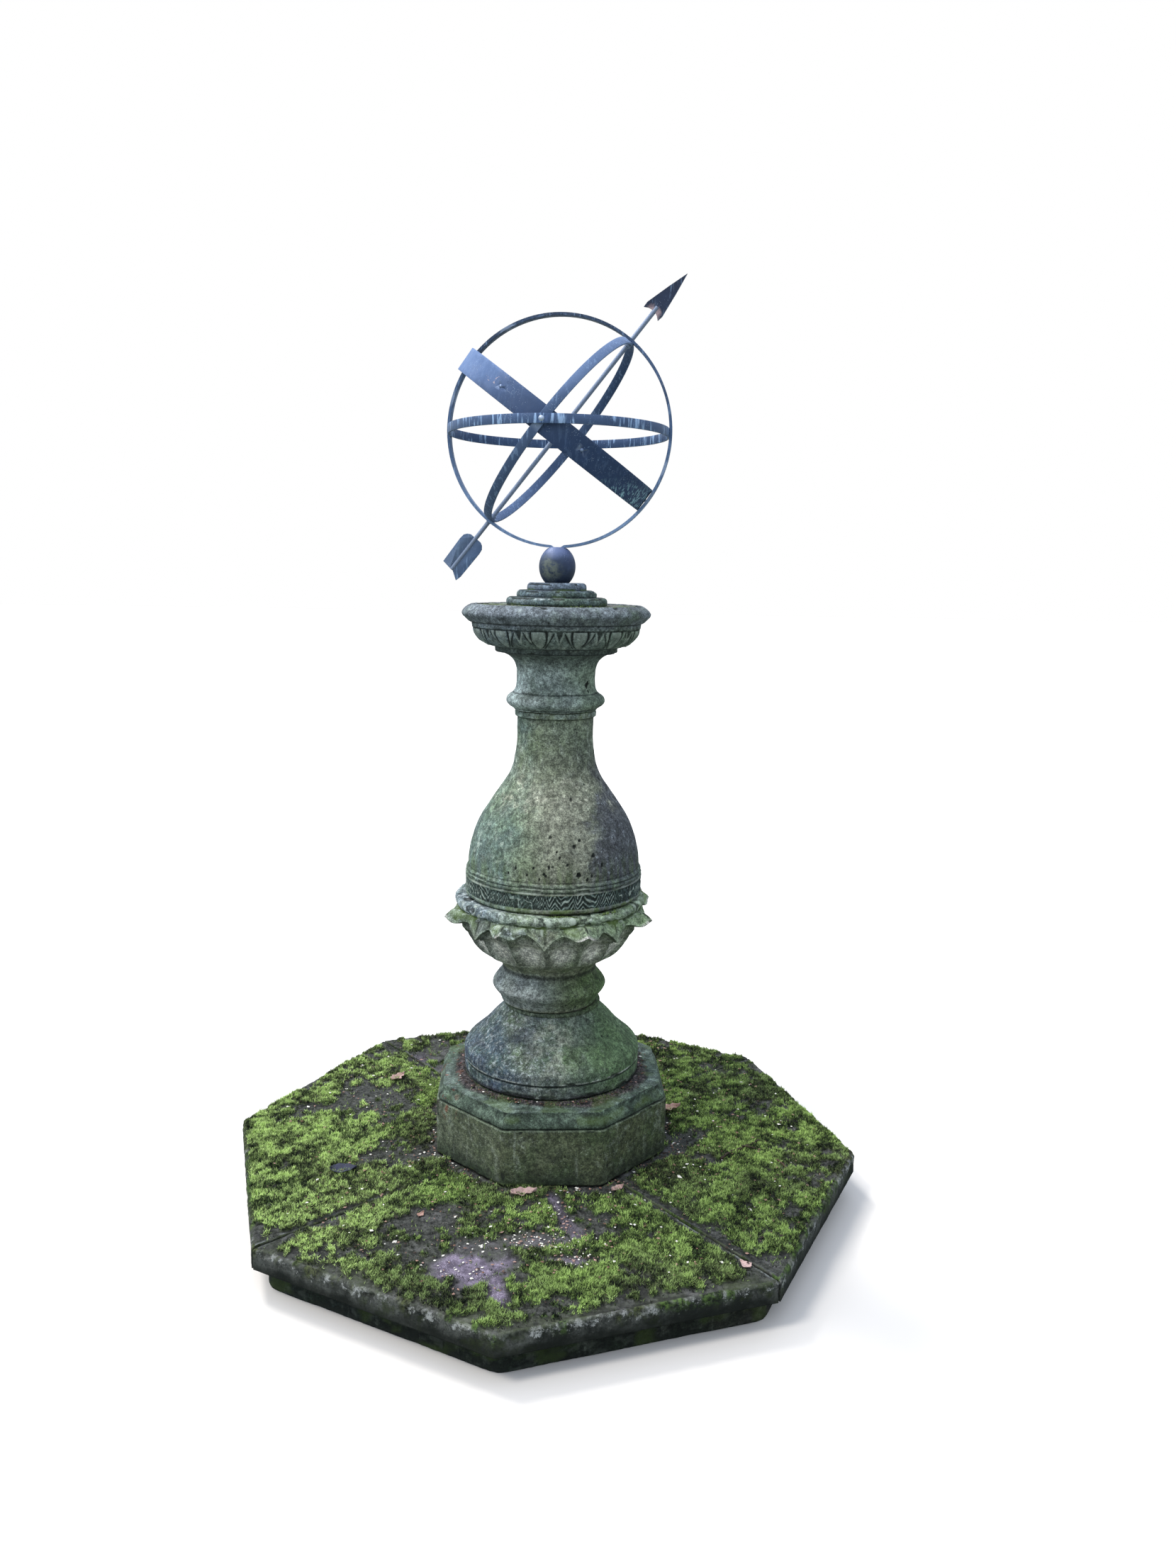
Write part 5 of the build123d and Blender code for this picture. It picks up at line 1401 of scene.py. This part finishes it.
pave = paving_material()
moss_mat = moss_material()
SLABS = [("front", -1), ("right", 1), ("rear", 3), ("left", 5)]
for si, (nm, first) in enumerate(SLABS):
    ob, inner = slab("paving_" + nm, first, 212)
    build("slab_" + nm, "paving_slab_" + nm, ob, pave)
    rg = np.random.default_rng(200 + si)
    N = 60000
    uu, vv = rg.random(N), rg.random(N)
    a, b, c, d = inner
    px = (1 - uu) * (1 - vv) * a[0] + uu * (1 - vv) * b[0] + uu * vv * c[0] + (1 - uu) * vv * d[0]
    py = (1 - uu) * (1 - vv) * a[1] + uu * (1 - vv) * b[1] + uu * vv * c[1] + (1 - uu) * vv * d[1]
    fld, H, r1 = ground_fields(px, py)
    keep = (rg.random(N) < (fld["moss"] ** 1.3 * 0.80 + 0.02 - 0.2 * (fld["soil"] > 0.9))) & (np.hypot(px, py) > 0.285)
    keep[np.cumsum(keep) > (30000)] = False
    P2 = np.stack([px, py, 0 * px], -1)
    tint = 0.36 + 1.9 * (r1 - 0.55) + 0.60 * fbm(P2, 26.0, 3, 0.6, 210) - 0.3 * (1 - fld["moss"])
    stems = blades("moss_" + nm, np.stack([px, py], 1)[keep], (PZ1 + H)[keep], tint[keep], rg, 3.5, 10.0, 2.0)
    stems.data.materials.append(moss_mat)
    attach(stems, "pedestal")


# ---------------------------------------------------------------------- litter and seam moss
def merge(parts):
    vs, fs, ts, n = [], [], [], 0
    for v, f, t in parts:
        vs.append(v)
        fs += [tuple(i + n for i in q) for q in f]
        ts.append(np.full(len(v), t) if np.isscalar(t) else t)
        n += len(v)
    return np.concatenate(vs), fs, np.concatenate(ts)


def leaf(x, y, z, length, width, rot, curl, lobes, tint, seed):
    """A dry leaf: lobed outline, raised midrib, curled edges."""
    rg = np.random.default_rng(seed)
    nu, nv = 22, 9
    verts, faces, tints = [], [], []
    for i in range(nu):
        u = i / (nu - 1)
        w = width * 0.5 * (math.sin(math.pi * min(1, u * 1.04) ** 0.8) ** 0.75 if 0 < u < 1 else 0.02)
        w *= 1 + 0.24 * math.sin(u * lobes * 2 * math.pi) * (0.2 < u < 0.95)
        for j in range(nv):
            v = -1 + 2 * j / (nv - 1)
            px = (u - 0.5) * length
            py = v * w
            pz = curl * length * (abs(v) ** 2 * 0.22 + 0.55 * (u - 0.45) ** 2) - 0.02 * length * math.exp(-(v * 5) ** 2)
            pz += 0.012 * length * math.sin(u * 17 + v * 2.2) * abs(v) + rg.normal(0, 0.0002)
            c, s = math.cos(rot), math.sin(rot)
            verts.append((x + c * px - s * py, y + s * px + c * py, z + pz + 0.0015))
            tints.append(tint + 0.10 * math.exp(-(v * 6) ** 2) + rg.normal(0, 0.03))
    for i in range(nu - 1):
        for j in range(nv - 1):
            a = i * nv + j
            faces.append((a, a + nv, a + nv + 1, a + 1))
    return np.array(verts), faces, np.array(tints)


def twig(p, q, r0, r1, bend, tint, seed, n=22, m=8):
    rg = np.random.default_rng(seed)
    p, q = np.array(p), np.array(q)
    d = q - p
    side = np.array([-d[1], d[0], 0.0])
    side /= np.linalg.norm(side)
    verts, faces = [], []
    jit = np.cumsum(rg.normal(0, 0.0010, n))
    for i in range(n):
        t = i / (n - 1)
        c = p + d * t + side * (bend * math.sin(t * 5.2) + jit[i] - jit[-1] * t)
        r = (r0 + (r1 - r0) * t) * (1 + 0.22 * math.sin(t * 41)) * (0.35 if i in (0, n - 1) else 1)
        for j in range(m):
            a = 2 * math.pi * j / m
            verts.append(c + side * (r * math.cos(a)) + np.array([0, 0, r * math.sin(a)]))
    for i in range(n - 1):
        for j in range(m):
            jn = (j + 1) % m
            faces.append((i * m + j, (i + 1) * m + j, (i + 1) * m + jn, i * m + jn))
    faces.append(tuple(range(m)))
    faces.append(tuple((n - 1) * m + j for j in reversed(range(m))))
    return np.array(verts), faces, tint


def crumb(x, y, z, r, tint, rg):
    v = np.array([(1, 0, 0), (-1, 0, 0), (0, 1, 0), (0, -1, 0), (0, 0, 1), (0, 0, -1)], float)
    v = v * rg.uniform(0.55, 1.35, (6, 1)) * np.array([1.3, 0.9, 0.45]) * r
    a = rg.uniform(0, 2 * math.pi)
    rot = np.array([[math.cos(a), -math.sin(a), 0], [math.sin(a), math.cos(a), 0], [0, 0, 1]])
    f = [(0, 2, 4), (2, 1, 4), (1, 3, 4), (3, 0, 4), (2, 0, 5), (1, 2, 5), (3, 1, 5), (0, 3, 5)]
    return v @ rot.T + np.array([x, y, z + 0.25 * r]), f, tint


def ground_z(x, y):
    return PZ1 + float(ground_fields(np.array([x]), np.array([y]))[1][0])


def litter_material():
    k = Mat("litter")
    t = k.attr("tint")
    n = k.noise(140.0, 5.0, 0.65, seed=3)
    col = k.mix(k.ramp(t, 0.15, 0.5), srgb(52, 38, 30), srgb(140, 104, 84))
    col = k.mix(k.ramp(t, 0.6, 0.95), col, srgb(196, 166, 158))
    col = k.mix(k.ramp(t, 1.2, 1.5), col, srgb(226, 220, 206))
    col = k.mix(k.ramp(t, -0.2, -0.5), col, srgb(48, 50, 66))
    col = k.mix(k.mul(k.ramp(n, 0.5, 0.7), 0.55), col, srgb(46, 34, 28))
    return k.done(col, 0.75, 0.0, k.bump(n, 0.4, 0.0008), 0.3)


lit_mat = litter_material()
rl = np.random.default_rng(77)
leaves = [leaf(-0.065, -0.315, ground_z(-0.065, -0.315), 0.060, 0.030, 0.15, 0.55, 3, 0.85, 1),
          leaf(0.150, -0.300, ground_z(0.150, -0.300), 0.034, 0.018, 0.6, 0.6, 2, 0.8, 2),
          leaf(0.316, 0.100, ground_z(0.316, 0.100), 0.060, 0.030, 0.3, 0.6, 3, 0.75, 3),
          leaf(-0.489, -0.205, ground_z(-0.489, -0.205), 0.062, 0.042, 0.1, 0.35, 0, -0.6, 4),
          leaf(0.393, -0.589, ground_z(0.393, -0.589), 0.030, 0.020, 2.2, 0.4, 1, 0.9, 5),
          leaf(-0.290, -0.390, ground_z(-0.29, -0.39), 0.022, 0.013, 1.1, 0.5, 1, 0.7, 6),
          leaf(0.08, 0.40, ground_z(0.08, 0.40), 0.055, 0.030, 2.0, 0.5, 3, 0.6, 7),
          leaf(-0.42, 0.30, ground_z(-0.42, 0.30), 0.050, 0.028, 0.9, 0.5, 3, 0.8, 8)]
twigs = [twig((0.410, -0.160, ground_z(0.41, -0.16) + 0.004), (0.520, -0.064, ground_z(0.52, -0.064) + 0.003), 0.0038, 0.0018, 0.006, 0.1, 9),
         twig((0.470, -0.105, ground_z(0.47, -0.105) + 0.005), (0.505, -0.120, ground_z(0.505, -0.12) + 0.006), 0.0022, 0.001, 0.002, 0.1, 10, 12),
         twig((0.540, -0.170, ground_z(0.54, -0.17) + 0.003), (0.568, -0.210, ground_z(0.568, -0.21) + 0.003), 0.0026, 0.0012, 0.003, 0.25, 11, 14)]
crumbs = []
for x, y in ((0.441, -0.386), (-0.336, -0.493), (0.30, -0.245), (0.345, -0.588)):
    crumbs.append(crumb(x, y, ground_z(x, y), 0.0060, 1.6, rl))
ca = rl.uniform(-math.pi, math.pi, 1500)
cr_ = np.where(np.arange(1500) < 320, (0.2805 + np.abs(rl.normal(0, 0.022, 1500))) * oct_factor(ca)[0], rl.uniform(0.30, 0.71, 1500))
cx_, cy_ = cr_ * np.cos(ca), cr_ * np.sin(ca)
inside_ = np.hypot(cx_ - PC[0], cy_ - PC[1]) < PR * math.cos(math.pi / 8) - 0.02
cz_ = PZ1 + ground_fields(cx_, cy_)[1]
for i in np.nonzero(inside_)[0]:                       # crumbs at the plinth's foot and over the paving
    crumbs.append(crumb(cx_[i], cy_[i], cz_[i] + (0.0 if i < 320 else 0.0035), rl.uniform(0.0014, 0.0040),
                        rl.choice([0.1, 0.35, 0.7, 1.6], p=[0.30, 0.28, 0.27, 0.15]), rl))
for x, y, sx_, sy_, n in ((-0.045, -0.495, 0.075, 0.020, 110), (0.035, -0.560, 0.028, 0.022, 60), (-0.20, -0.585, 0.05, 0.03, 40),
                          (0.02, -0.43, 0.015, 0.05, 30)):
    for i in range(n):                                 # pale chips on the worn stone
        px_, py_ = rl.normal(x, sx_), rl.normal(y, sy_)
        crumbs.append(crumb(px_, py_, ground_z(px_, py_) + 0.001, rl.uniform(0.0012, 0.0036), rl.choice([0.75, 1.6], p=[0.45, 0.55]), rl))
for i in range(260):                                   # litter on the plinth's ledge, round the disc
    a = rl.uniform(-math.pi, math.pi)
    r = 0.2185 + abs(rl.normal(0, 0.012))
    r = min(r, 0.250)
    crumbs.append(crumb(r * math.cos(a), r * math.sin(a), G + 0.1800 + 0.0030 * rl.random() + 0.002, rl.uniform(0.0015, 0.0040),
                        rl.choice([0.05, 0.3, 0.75, 1.6], p=[0.5, 0.32, 0.1, 0.08]), rl))
for nm, parts, sm in (("leaf_litter", leaves, True), ("twigs", twigs, True), ("litter_crumbs", crumbs, False)):
    v, f, t = merge(parts)
    me = bpy.data.meshes.new(nm)
    me.from_pydata([tuple(q) for q in v.tolist()], [], f)
    at_ = me.attributes.new("tint", "FLOAT", "POINT")
    at_.data.foreach_set("value", t.astype(np.float32))
    me.polygons.foreach_set("use_smooth", np.full(len(me.polygons), sm))
    o = bpy.data.objects.new(nm, me)
    bpy.context.scene.collection.objects.link(o)
    o.data.materials.append(lit_mat)
    if nm == "leaf_litter":
        so = o.modifiers.new("thick", "SOLIDIFY")
        so.thickness = 0.0006
    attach(o, "pedestal")

# moss tufts in the seams of the column
sx, sz, st = [], [], []
for az, spread, n, r, z in ((4, 8, 260, 218, 628.5), (-24, 9, 60, 219, 629), (36, 8, 50, 219, 629), (180, 20, 160, 218, 629),
                            (-110, 12, 90, 218, 629), (100, 14, 90, 218, 629)):
    a = np.radians(rl.normal(az, spread * 0.55, n)) + CAM
    rr_ = (r + np.abs(rl.normal(0, 2.2, n))) * MM
    sx.append(np.stack([rr_ * np.sin(a) - 0.004, -rr_ * np.cos(a)], 1))
    sz.append(np.full(n, G + z * MM))
    st.append(rl.uniform(0.0, 0.8, n))
for az, spread, n in ((-30, 14, 260), (10, 12, 120), (40, 16, 160), (120, 30, 200), (-140, 30, 200)):
    a = np.radians(rl.normal(az, spread * 0.6, n)) + CAM
    rr_ = (219 + np.abs(rl.normal(0, 9, n))) * MM
    sx.append(np.stack([rr_ * np.sin(a), -rr_ * np.cos(a)], 1))
    sz.append(np.full(n, G + 0.182))
    st.append(rl.uniform(-0.1, 0.6, n))
for az, spread, n in ((30, 20, 90), (-40, 20, 60), (170, 40, 120)):
    a = np.radians(rl.normal(az, spread * 0.6, n)) + CAM
    rr_ = (119 + np.abs(rl.normal(0, 12, n))) * MM
    sx.append(np.stack([rr_ * np.sin(a), -rr_ * np.cos(a)], 1))
    sz.append(np.full(n, G + 1.3215))
    st.append(rl.uniform(0.0, 0.6, n))
seam = blades("moss_seams", np.concatenate(sx), np.concatenate(sz), np.concatenate(st), rl, 3.0, 7.5, 1.4, 3, (10, 75))
seam.data.materials.append(moss_mat)
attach(seam, "pedestal")


# ====================================================================== metalwork
SC = Vector((0, 0, 1.8215))


def metal(name, dark, mid, light, grad=None, streak=0.4, scuff=0.4, rust=0.0, rough=0.36, metallic=0.25,
          seed=0.0, extra=None):
    """Old paint on steel.  grad runs the tint from dark (0) to light (1) over the piece; where it follows height or
    facing, it is painted light and shade.
    """
    k = Mat(name)
    big = k.noise(8.0, 5.0, 0.6, seed=seed + 1)
    g = grad(k) if grad else 0.5
    g = k.add(g, k.mul(k.math("SUBTRACT", big, 0.5), 1.0))
    col = k.mix(k.ramp(g, 0.0, 0.55), dark, mid)
    col = k.mix(k.ramp(g, 0.5, 1.05), col, light)
    cloud = k.noise(34.0, 7.0, 0.66, seed=seed + 2)
    col = k.mix(k.mul(k.ramp(cloud, 0.50, 0.72), scuff), col, light)
    col = k.mix(k.mul(k.ramp(cloud, 0.48, 0.28), 0.30), col, dark)
    fine = k.noise(210.0, 7.0, 0.72, seed=seed + 3)
    col = k.mix(k.mul(k.ramp(fine, 0.54, 0.72), 0.28), col, dark)
    col = k.mix(k.mul(k.ramp(fine, 0.44, 0.30), scuff * 0.4), col, light)
    run = k.noise(1.0, 5.0, 0.6, vec=k.scaled(150, 150, 14), seed=seed + 4)
    gate = k.ramp(k.noise(24.0, 3.0, 0.5, seed=seed + 5), 0.40, 0.52)
    col = k.mix(k.mul(k.ramp(run, 0.53, 0.60), gate, streak), col, srgb(178, 208, 242))
    sp = k.mul(k.ramp(k.voronoi(300.0), 0.22, 0.10), k.ramp(k.noise(26.0, 4.0, 0.6, seed=seed + 6), 0.5, 0.6))
    col = k.mix(k.mul(sp, 0.65), col, srgb(200, 212, 228))
    if rust:
        rn = k.mul(k.ramp(k.noise(30.0, 6.0, 0.65, seed=seed + 7), 0.60, 0.70), rust)
        col = k.mix(rn, col, k.mix(fine, srgb(64, 42, 36), srgb(138, 92, 72)))
    # painted highlight along the edges
    edge = k.ramp(k.point, 0.53, 0.60)
    col = k.mix(k.mul(edge, 0.45), col, srgb(176, 190, 212))
    if extra:
        col = extra(k, col)
    rg = k.ramp(cloud, 0.3, 0.7, rough, rough + 0.26)
    b = k.bump(cloud, 0.30, 0.0016)
    b = k.bump(fine, 0.35, 0.0007, b)
    b = k.bump(sp, 0.3, 0.0006, b)
    return k.done(col, rg, metallic, b, 0.5)


# painted light and shade: the tint runs from dark to light with height over the piece
def by_height(lo, hi, a=0.0, b=1.0):
    def f(k):
        x, y, z = k.sep()
        return k.ramp(z, 1.8215 + lo, 1.8215 + hi, a, b)
    return f


NAVY = srgb(44, 65, 98)


def band_extra(k, col):
    x, y, z = k.sep()
    # teal scratches near the lower end
    v = k.noise(1.0, 6.0, 0.6, vec=k.scaled(170, 170, 26), seed=3)
    near = k.ramp(z, 1.8215 - 0.105, 1.8215 - 0.15)
    col = k.mix(k.mul(k.ramp(v, 0.52, 0.58), near, 0.9), col, srgb(158, 198, 208))
    spk = k.mul(k.ramp(k.noise(170.0, 4.0, 0.6, seed=6), 0.62, 0.68), k.ramp(z, 1.8215 + 0.02, 1.8215 - 0.06), 0.4)
    col = k.mix(spk, col, srgb(150, 178, 206))
    # pale scribble of bare primer below the upper rivet
    s = k.mul(k.ramp(k.noise(70.0, 3.0, 0.5, dist=2.0, seed=5), 0.60, 0.64),
              k.ramp(k.math("ABSOLUTE", k.math("SUBTRACT", x, -0.135)), 0.03, 0.012),
              k.ramp(k.math("ABSOLUTE", k.math("SUBTRACT", z, 1.8215 + 0.083)), 0.02, 0.008))
    return k.mix(k.mul(s, 0.8), col, srgb(200, 176, 172))


# painted light and shade: lighter on the upper front and the lower rear of the ring
def colure_grad(k):
    x, y, z = k.sep()
    up = k.ramp(z, 1.8215 - 0.02, 1.8215 + 0.10)
    front = k.ramp(y, 0.0, -0.05)
    low = k.mul(k.ramp(z, 1.8215 - 0.02, 1.8215 - 0.12), k.ramp(y, -0.02, 0.06), 0.8)
    return k.math("MAXIMUM", k.mul(up, front), low)


def head_extra(k, col):
    # rust and flaking where the head is brazed to the rod
    from_c = k.t.nodes.new("ShaderNodeVectorMath")
    from_c.operation = "DISTANCE"
    k.put(from_c.inputs[0], k.obj)
    ax = frame["joints"][1]["axis"] if len(frame["joints"]) > 1 else (0.62, -0.105, 0.777)
    from_c.inputs[1].default_value = tuple(SC[i] + ax[i] * 0.327 for i in range(3))
    d = k.add(from_c.outputs["Value"], k.mul(k.math("SUBTRACT", k.noise(60.0, 5.0, 0.6, seed=4), 0.5), 0.030))
    m = k.ramp(d, 0.022, 0.012)
    rust = k.mix(k.noise(120.0, 4.0, 0.6, seed=6), srgb(150, 112, 106), srgb(214, 192, 194))
    return k.mix(k.mul(m, 0.85), col, rust)


def ball_extra(k, col):
    x, y, z = k.sep()
    n = k.noise(30.0, 6.0, 0.65, seed=2)
    d = k.t.nodes.new("ShaderNodeVectorMath")
    d.operation = "DISTANCE"
    k.put(d.inputs[0], k.obj)
    d.inputs[1].default_value = (-0.022, -0.036, 1.516)
    dd = k.add(d.outputs["Value"], k.mul(k.math("SUBTRACT", n, 0.5), 0.05))
    patch = k.mul(k.ramp(dd, 0.036, 0.014), k.ramp(k.noise(70.0, 6.0, 0.7, seed=7), 0.36, 0.56))
    col = k.mix(k.mul(patch, 0.85), col, k.mix(k.noise(150.0, 5.0, 0.7, seed=3), srgb(54, 64, 60), srgb(146, 152, 136)))
    # painted reflection of the sky: pale blue over the crown of the ball
    top = k.ramp(k.add(z, k.mul(k.math("SUBTRACT", n, 0.5), 0.03)), 1.536, 1.558)
    col = k.mix(k.mul(top, 0.65), col, srgb(120, 134, 176))
    viol = k.mul(k.ramp(x, 0.0, 0.03), k.ramp(z, 1.50, 1.535), 0.4)
    return k.mix(viol, col, srgb(60, 72, 112))


mats = {
    "meridian_ring": metal("meridian_paint", srgb(40, 56, 80), srgb(76, 100, 134), srgb(140, 166, 202),
                           by_height(-0.26, 0.26, 0.75, 0.15), 0.25, 0.4, 0.10, seed=1),
    "horizon_ring": metal("horizon_paint", srgb(38, 56, 84), srgb(62, 86, 122), srgb(112, 142, 190),
                          lambda k: 0.42, 0.75, 0.35, 0.04, seed=11),
    "colure_ring": metal("colure_paint", srgb(58, 80, 112), srgb(70, 92, 126), srgb(104, 126, 162),
                         colure_grad, 0.22, 0.25, 0.04, seed=21, rough=0.48),
    "equatorial_band": metal("band_paint", NAVY, srgb(70, 88, 120), srgb(94, 118, 158),
                             by_height(-0.09, 0.15), 0.06, 0.22, 0.05, seed=31, extra=band_extra, rough=0.58),
    "gnomon_rod": metal("rod_paint", srgb(28, 40, 62), srgb(44, 60, 88), srgb(88, 110, 146), lambda k: 0.30, 0.15, 0.35, 0.12, seed=41),
    "arrow_head": metal("head_paint", srgb(22, 32, 52), srgb(38, 52, 80), srgb(78, 98, 130), lambda k: 0.25, 0.2, 0.25, 0.10,
                        seed=51, extra=head_extra),
    "arrow_flights": metal("flight_paint", srgb(40, 56, 84), srgb(68, 90, 122), srgb(108, 134, 170), lambda k: 0.5, 0.35, 0.4, 0.10, seed=61),
    "rod_collars": metal("collar_paint", srgb(34, 44, 62), srgb(64, 78, 102), srgb(140, 156, 182), lambda k: 0.35, 0.2, 0.5, 0.2, seed=71),
    "mounting_ball": metal("ball_paint", srgb(30, 40, 56), srgb(44, 58, 82), srgb(88, 106, 134), by_height(-0.34, -0.26, 0.1, 0.7),
                           0.0, 0.35, 0.0, 0.42, 0.1, seed=81, extra=ball_extra),
    "meridian_rivets": metal("small_rivet_paint", srgb(60, 72, 96), srgb(104, 120, 148), srgb(190, 202, 222), lambda k: 0.6, 0.1, 0.5, 0.2, seed=91),
    "crossing_rivets": metal("rivet_worn", srgb(96, 112, 138), srgb(164, 178, 198), srgb(226, 234, 244), lambda k: 0.75, 0.1, 0.4, 0.05,
                             0.26, 0.75, seed=95),
    "band_rivets": metal("rivet_band", srgb(56, 68, 96), srgb(112, 128, 158), srgb(206, 218, 234), lambda k: 0.6, 0.1, 0.5, 0.1, 0.3, 0.6, seed=97),
    "pole_bushes": metal("bush_bronze", srgb(44, 40, 34), srgb(86, 80, 66), srgb(142, 128, 98), lambda k: 0.45, 0.1, 0.3, 0.1, 0.4, 0.8, seed=99),
    "pivot_sleeve": metal("sleeve_bronze", srgb(60, 48, 28), srgb(110, 88, 48), srgb(160, 132, 80), lambda k: 0.5, 0.1, 0.3, 0.0, 0.35, 0.9, seed=101),
    "pivot_stud": metal("stud_steel", srgb(100, 104, 108), srgb(150, 154, 158), srgb(200, 204, 208), lambda k: 0.5, 0.1, 0.3, 0.0, 0.3, 0.9, seed=103),
}
mats["stud_circlip"] = mats["pivot_stud"]
mats["ring_screw"] = mats["pivot_stud"]
mats["column_dowels"] = mats["pivot_stud"]

mort = stone("mortar", srgb(58, 58, 48), srgb(52, 50, 40), srgb(48, 52, 34), half=0.3, pale=0.15, green=0.7, streaks=0.3,
             pits=0.3, seed=140.0, darkcol=srgb(22, 22, 18), greencol=srgb(52, 70, 26), edge=0.0)
for n in frame["nodes"]:
    if n.endswith("mortar_bed"):
        mats[n] = mort
for n, m in mats.items():
    set_slots(n, m)

# soft edges on the bar and plate work
for n, w in (("meridian_ring", 0.8), ("horizon_ring", 0.8), ("colure_ring", 0.8), ("equatorial_band", 0.7),
             ("arrow_head", 0.8), ("arrow_flights", 0.7)):
    o = frame["nodes"][n]
    m1 = o.modifiers.new("weld", "WELD")
    m1.merge_threshold = 0.00002
    m2 = o.modifiers.new("bevel", "BEVEL")
    m2.width = w * MM
    m2.segments = 2
    m2.limit_method = "ANGLE"
    m2.angle_limit = math.radians(40)
    m2.harden_normals = False


# ====================================================================== stage, light, camera
def plane(name, size, z):
    me = bpy.data.meshes.new(name)
    s = size / 2
    me.from_pydata([(-s, -s, z), (s, -s, z), (s, s, z), (-s, s, z)], [], [(0, 1, 2, 3)])
    o = bpy.data.objects.new(name, me)
    bpy.context.scene.collection.objects.link(o)
    return o


floor = plane("floor", 80, -0.0005)
fm = bpy.data.materials.new("floor_paper")
fm.use_nodes = True
ft = fm.node_tree
ft.nodes.clear()
fo = ft.nodes.new("ShaderNodeOutputMaterial")
white = ft.nodes.new("ShaderNodeBsdfDiffuse")
white.inputs["Color"].default_value = (0.74, 0.69, 0.625, 1)
dim = ft.nodes.new("ShaderNodeBsdfDiffuse")
dim.inputs["Color"].default_value = (0.20, 0.22, 0.20, 1)
lp = ft.nodes.new("ShaderNodeLightPath")
mx = ft.nodes.new("ShaderNodeMixShader")
ft.links.new(lp.outputs["Is Camera Ray"], mx.inputs[0])
ft.links.new(dim.outputs[0], mx.inputs[1])
ft.links.new(white.outputs[0], mx.inputs[2])
ft.links.new(mx.outputs[0], fo.inputs["Surface"])
floor.data.materials.append(fm)

world = bpy.data.worlds.new("sky")
bpy.context.scene.world = world
world.use_nodes = True
wt = world.node_tree
wt.nodes.clear()
wo = wt.nodes.new("ShaderNodeOutputWorld")
bg_cam = wt.nodes.new("ShaderNodeBackground")
bg_cam.inputs["Color"].default_value = (1, 1, 1, 1)
bg_cam.inputs["Strength"].default_value = 1.0
bg_sky = wt.nodes.new("ShaderNodeBackground")
tcw = wt.nodes.new("ShaderNodeTexCoord")
spw = wt.nodes.new("ShaderNodeSeparateXYZ")
wt.links.new(tcw.outputs["Generated"], spw.inputs[0])
cr = wt.nodes.new("ShaderNodeValToRGB")
cr.color_ramp.elements[0].position = 0.46
cr.color_ramp.elements[0].color = (0.34, 0.40, 0.36, 1)
cr.color_ramp.elements[1].position = 0.80
cr.color_ramp.elements[1].color = (1.02, 1.16, 1.42, 1)
e = cr.color_ramp.elements.new(0.56)
e.color = (0.62, 0.70, 0.76, 1)
ma = wt.nodes.new("ShaderNodeMath")
ma.operation = "MULTIPLY_ADD"
wt.links.new(spw.outputs[2], ma.inputs[0])
ma.inputs[1].default_value = 0.5
ma.inputs[2].default_value = 0.5
wt.links.new(ma.outputs[0], cr.inputs[0])
# brighter to the left
mb = wt.nodes.new("ShaderNodeMath")
mb.operation = "MULTIPLY_ADD"
wt.links.new(spw.outputs[0], mb.inputs[0])
mb.inputs[1].default_value = -0.25
mb.inputs[2].default_value = 1.04
wt.links.new(cr.outputs[0], bg_sky.inputs["Color"])
wt.links.new(mb.outputs[0], bg_sky.inputs["Strength"])
lpw = wt.nodes.new("ShaderNodeLightPath")
mw = wt.nodes.new("ShaderNodeMixShader")
wt.links.new(lpw.outputs["Is Camera Ray"], mw.inputs[0])
wt.links.new(bg_sky.outputs[0], mw.inputs[1])
wt.links.new(bg_cam.outputs[0], mw.inputs[2])
wt.links.new(mw.outputs[0], wo.inputs["Surface"])


def sun(name, direction, strength, angle, color):
    d = bpy.data.lights.new(name, "SUN")
    d.energy = strength
    d.angle = math.radians(angle)
    d.color = color
    o = bpy.data.objects.new(name, d)
    o.rotation_euler = Vector(direction).to_track_quat("-Z", "Y").to_euler()
    bpy.context.scene.collection.objects.link(o)
    return o


sun("key", (0.62, 0.30, -0.95), 1.5, 14, (1.0, 0.98, 0.95))
sun("cast", (0.50, -0.46, -1.0), 1.7, 12, (1.0, 1.0, 1.0))

cam = bpy.data.cameras.new("camera")
cam.sensor_width = 36
cam.lens = 26.48
cam.clip_start = 0.05
cam.clip_end = 200
co = bpy.data.objects.new("camera", cam)
bpy.context.scene.collection.objects.link(co)
yaw, pitch, roll = math.radians(2.81276), math.radians(10.39894), math.radians(1.00292)
fwd = Vector((math.sin(yaw) * math.cos(pitch), math.cos(yaw) * math.cos(pitch), -math.sin(pitch)))
rgt = Vector((math.cos(yaw), -math.sin(yaw), 0))
upv = rgt.cross(fwd)
r2 = math.cos(roll) * rgt + math.sin(roll) * upv
u2 = -math.sin(roll) * rgt + math.cos(roll) * upv
mm = Matrix((r2, u2, -fwd)).transposed().to_4x4()
mm.translation = Vector((-0.0538, -2.7295, 1.5095))
co.matrix_world = mm
bpy.context.scene.camera = co
sc = bpy.context.scene
sc.view_settings.view_transform = "Standard"
sc.view_settings.look = "None"
sc.view_settings.exposure = 0.0
sc.view_settings.gamma = 1.0
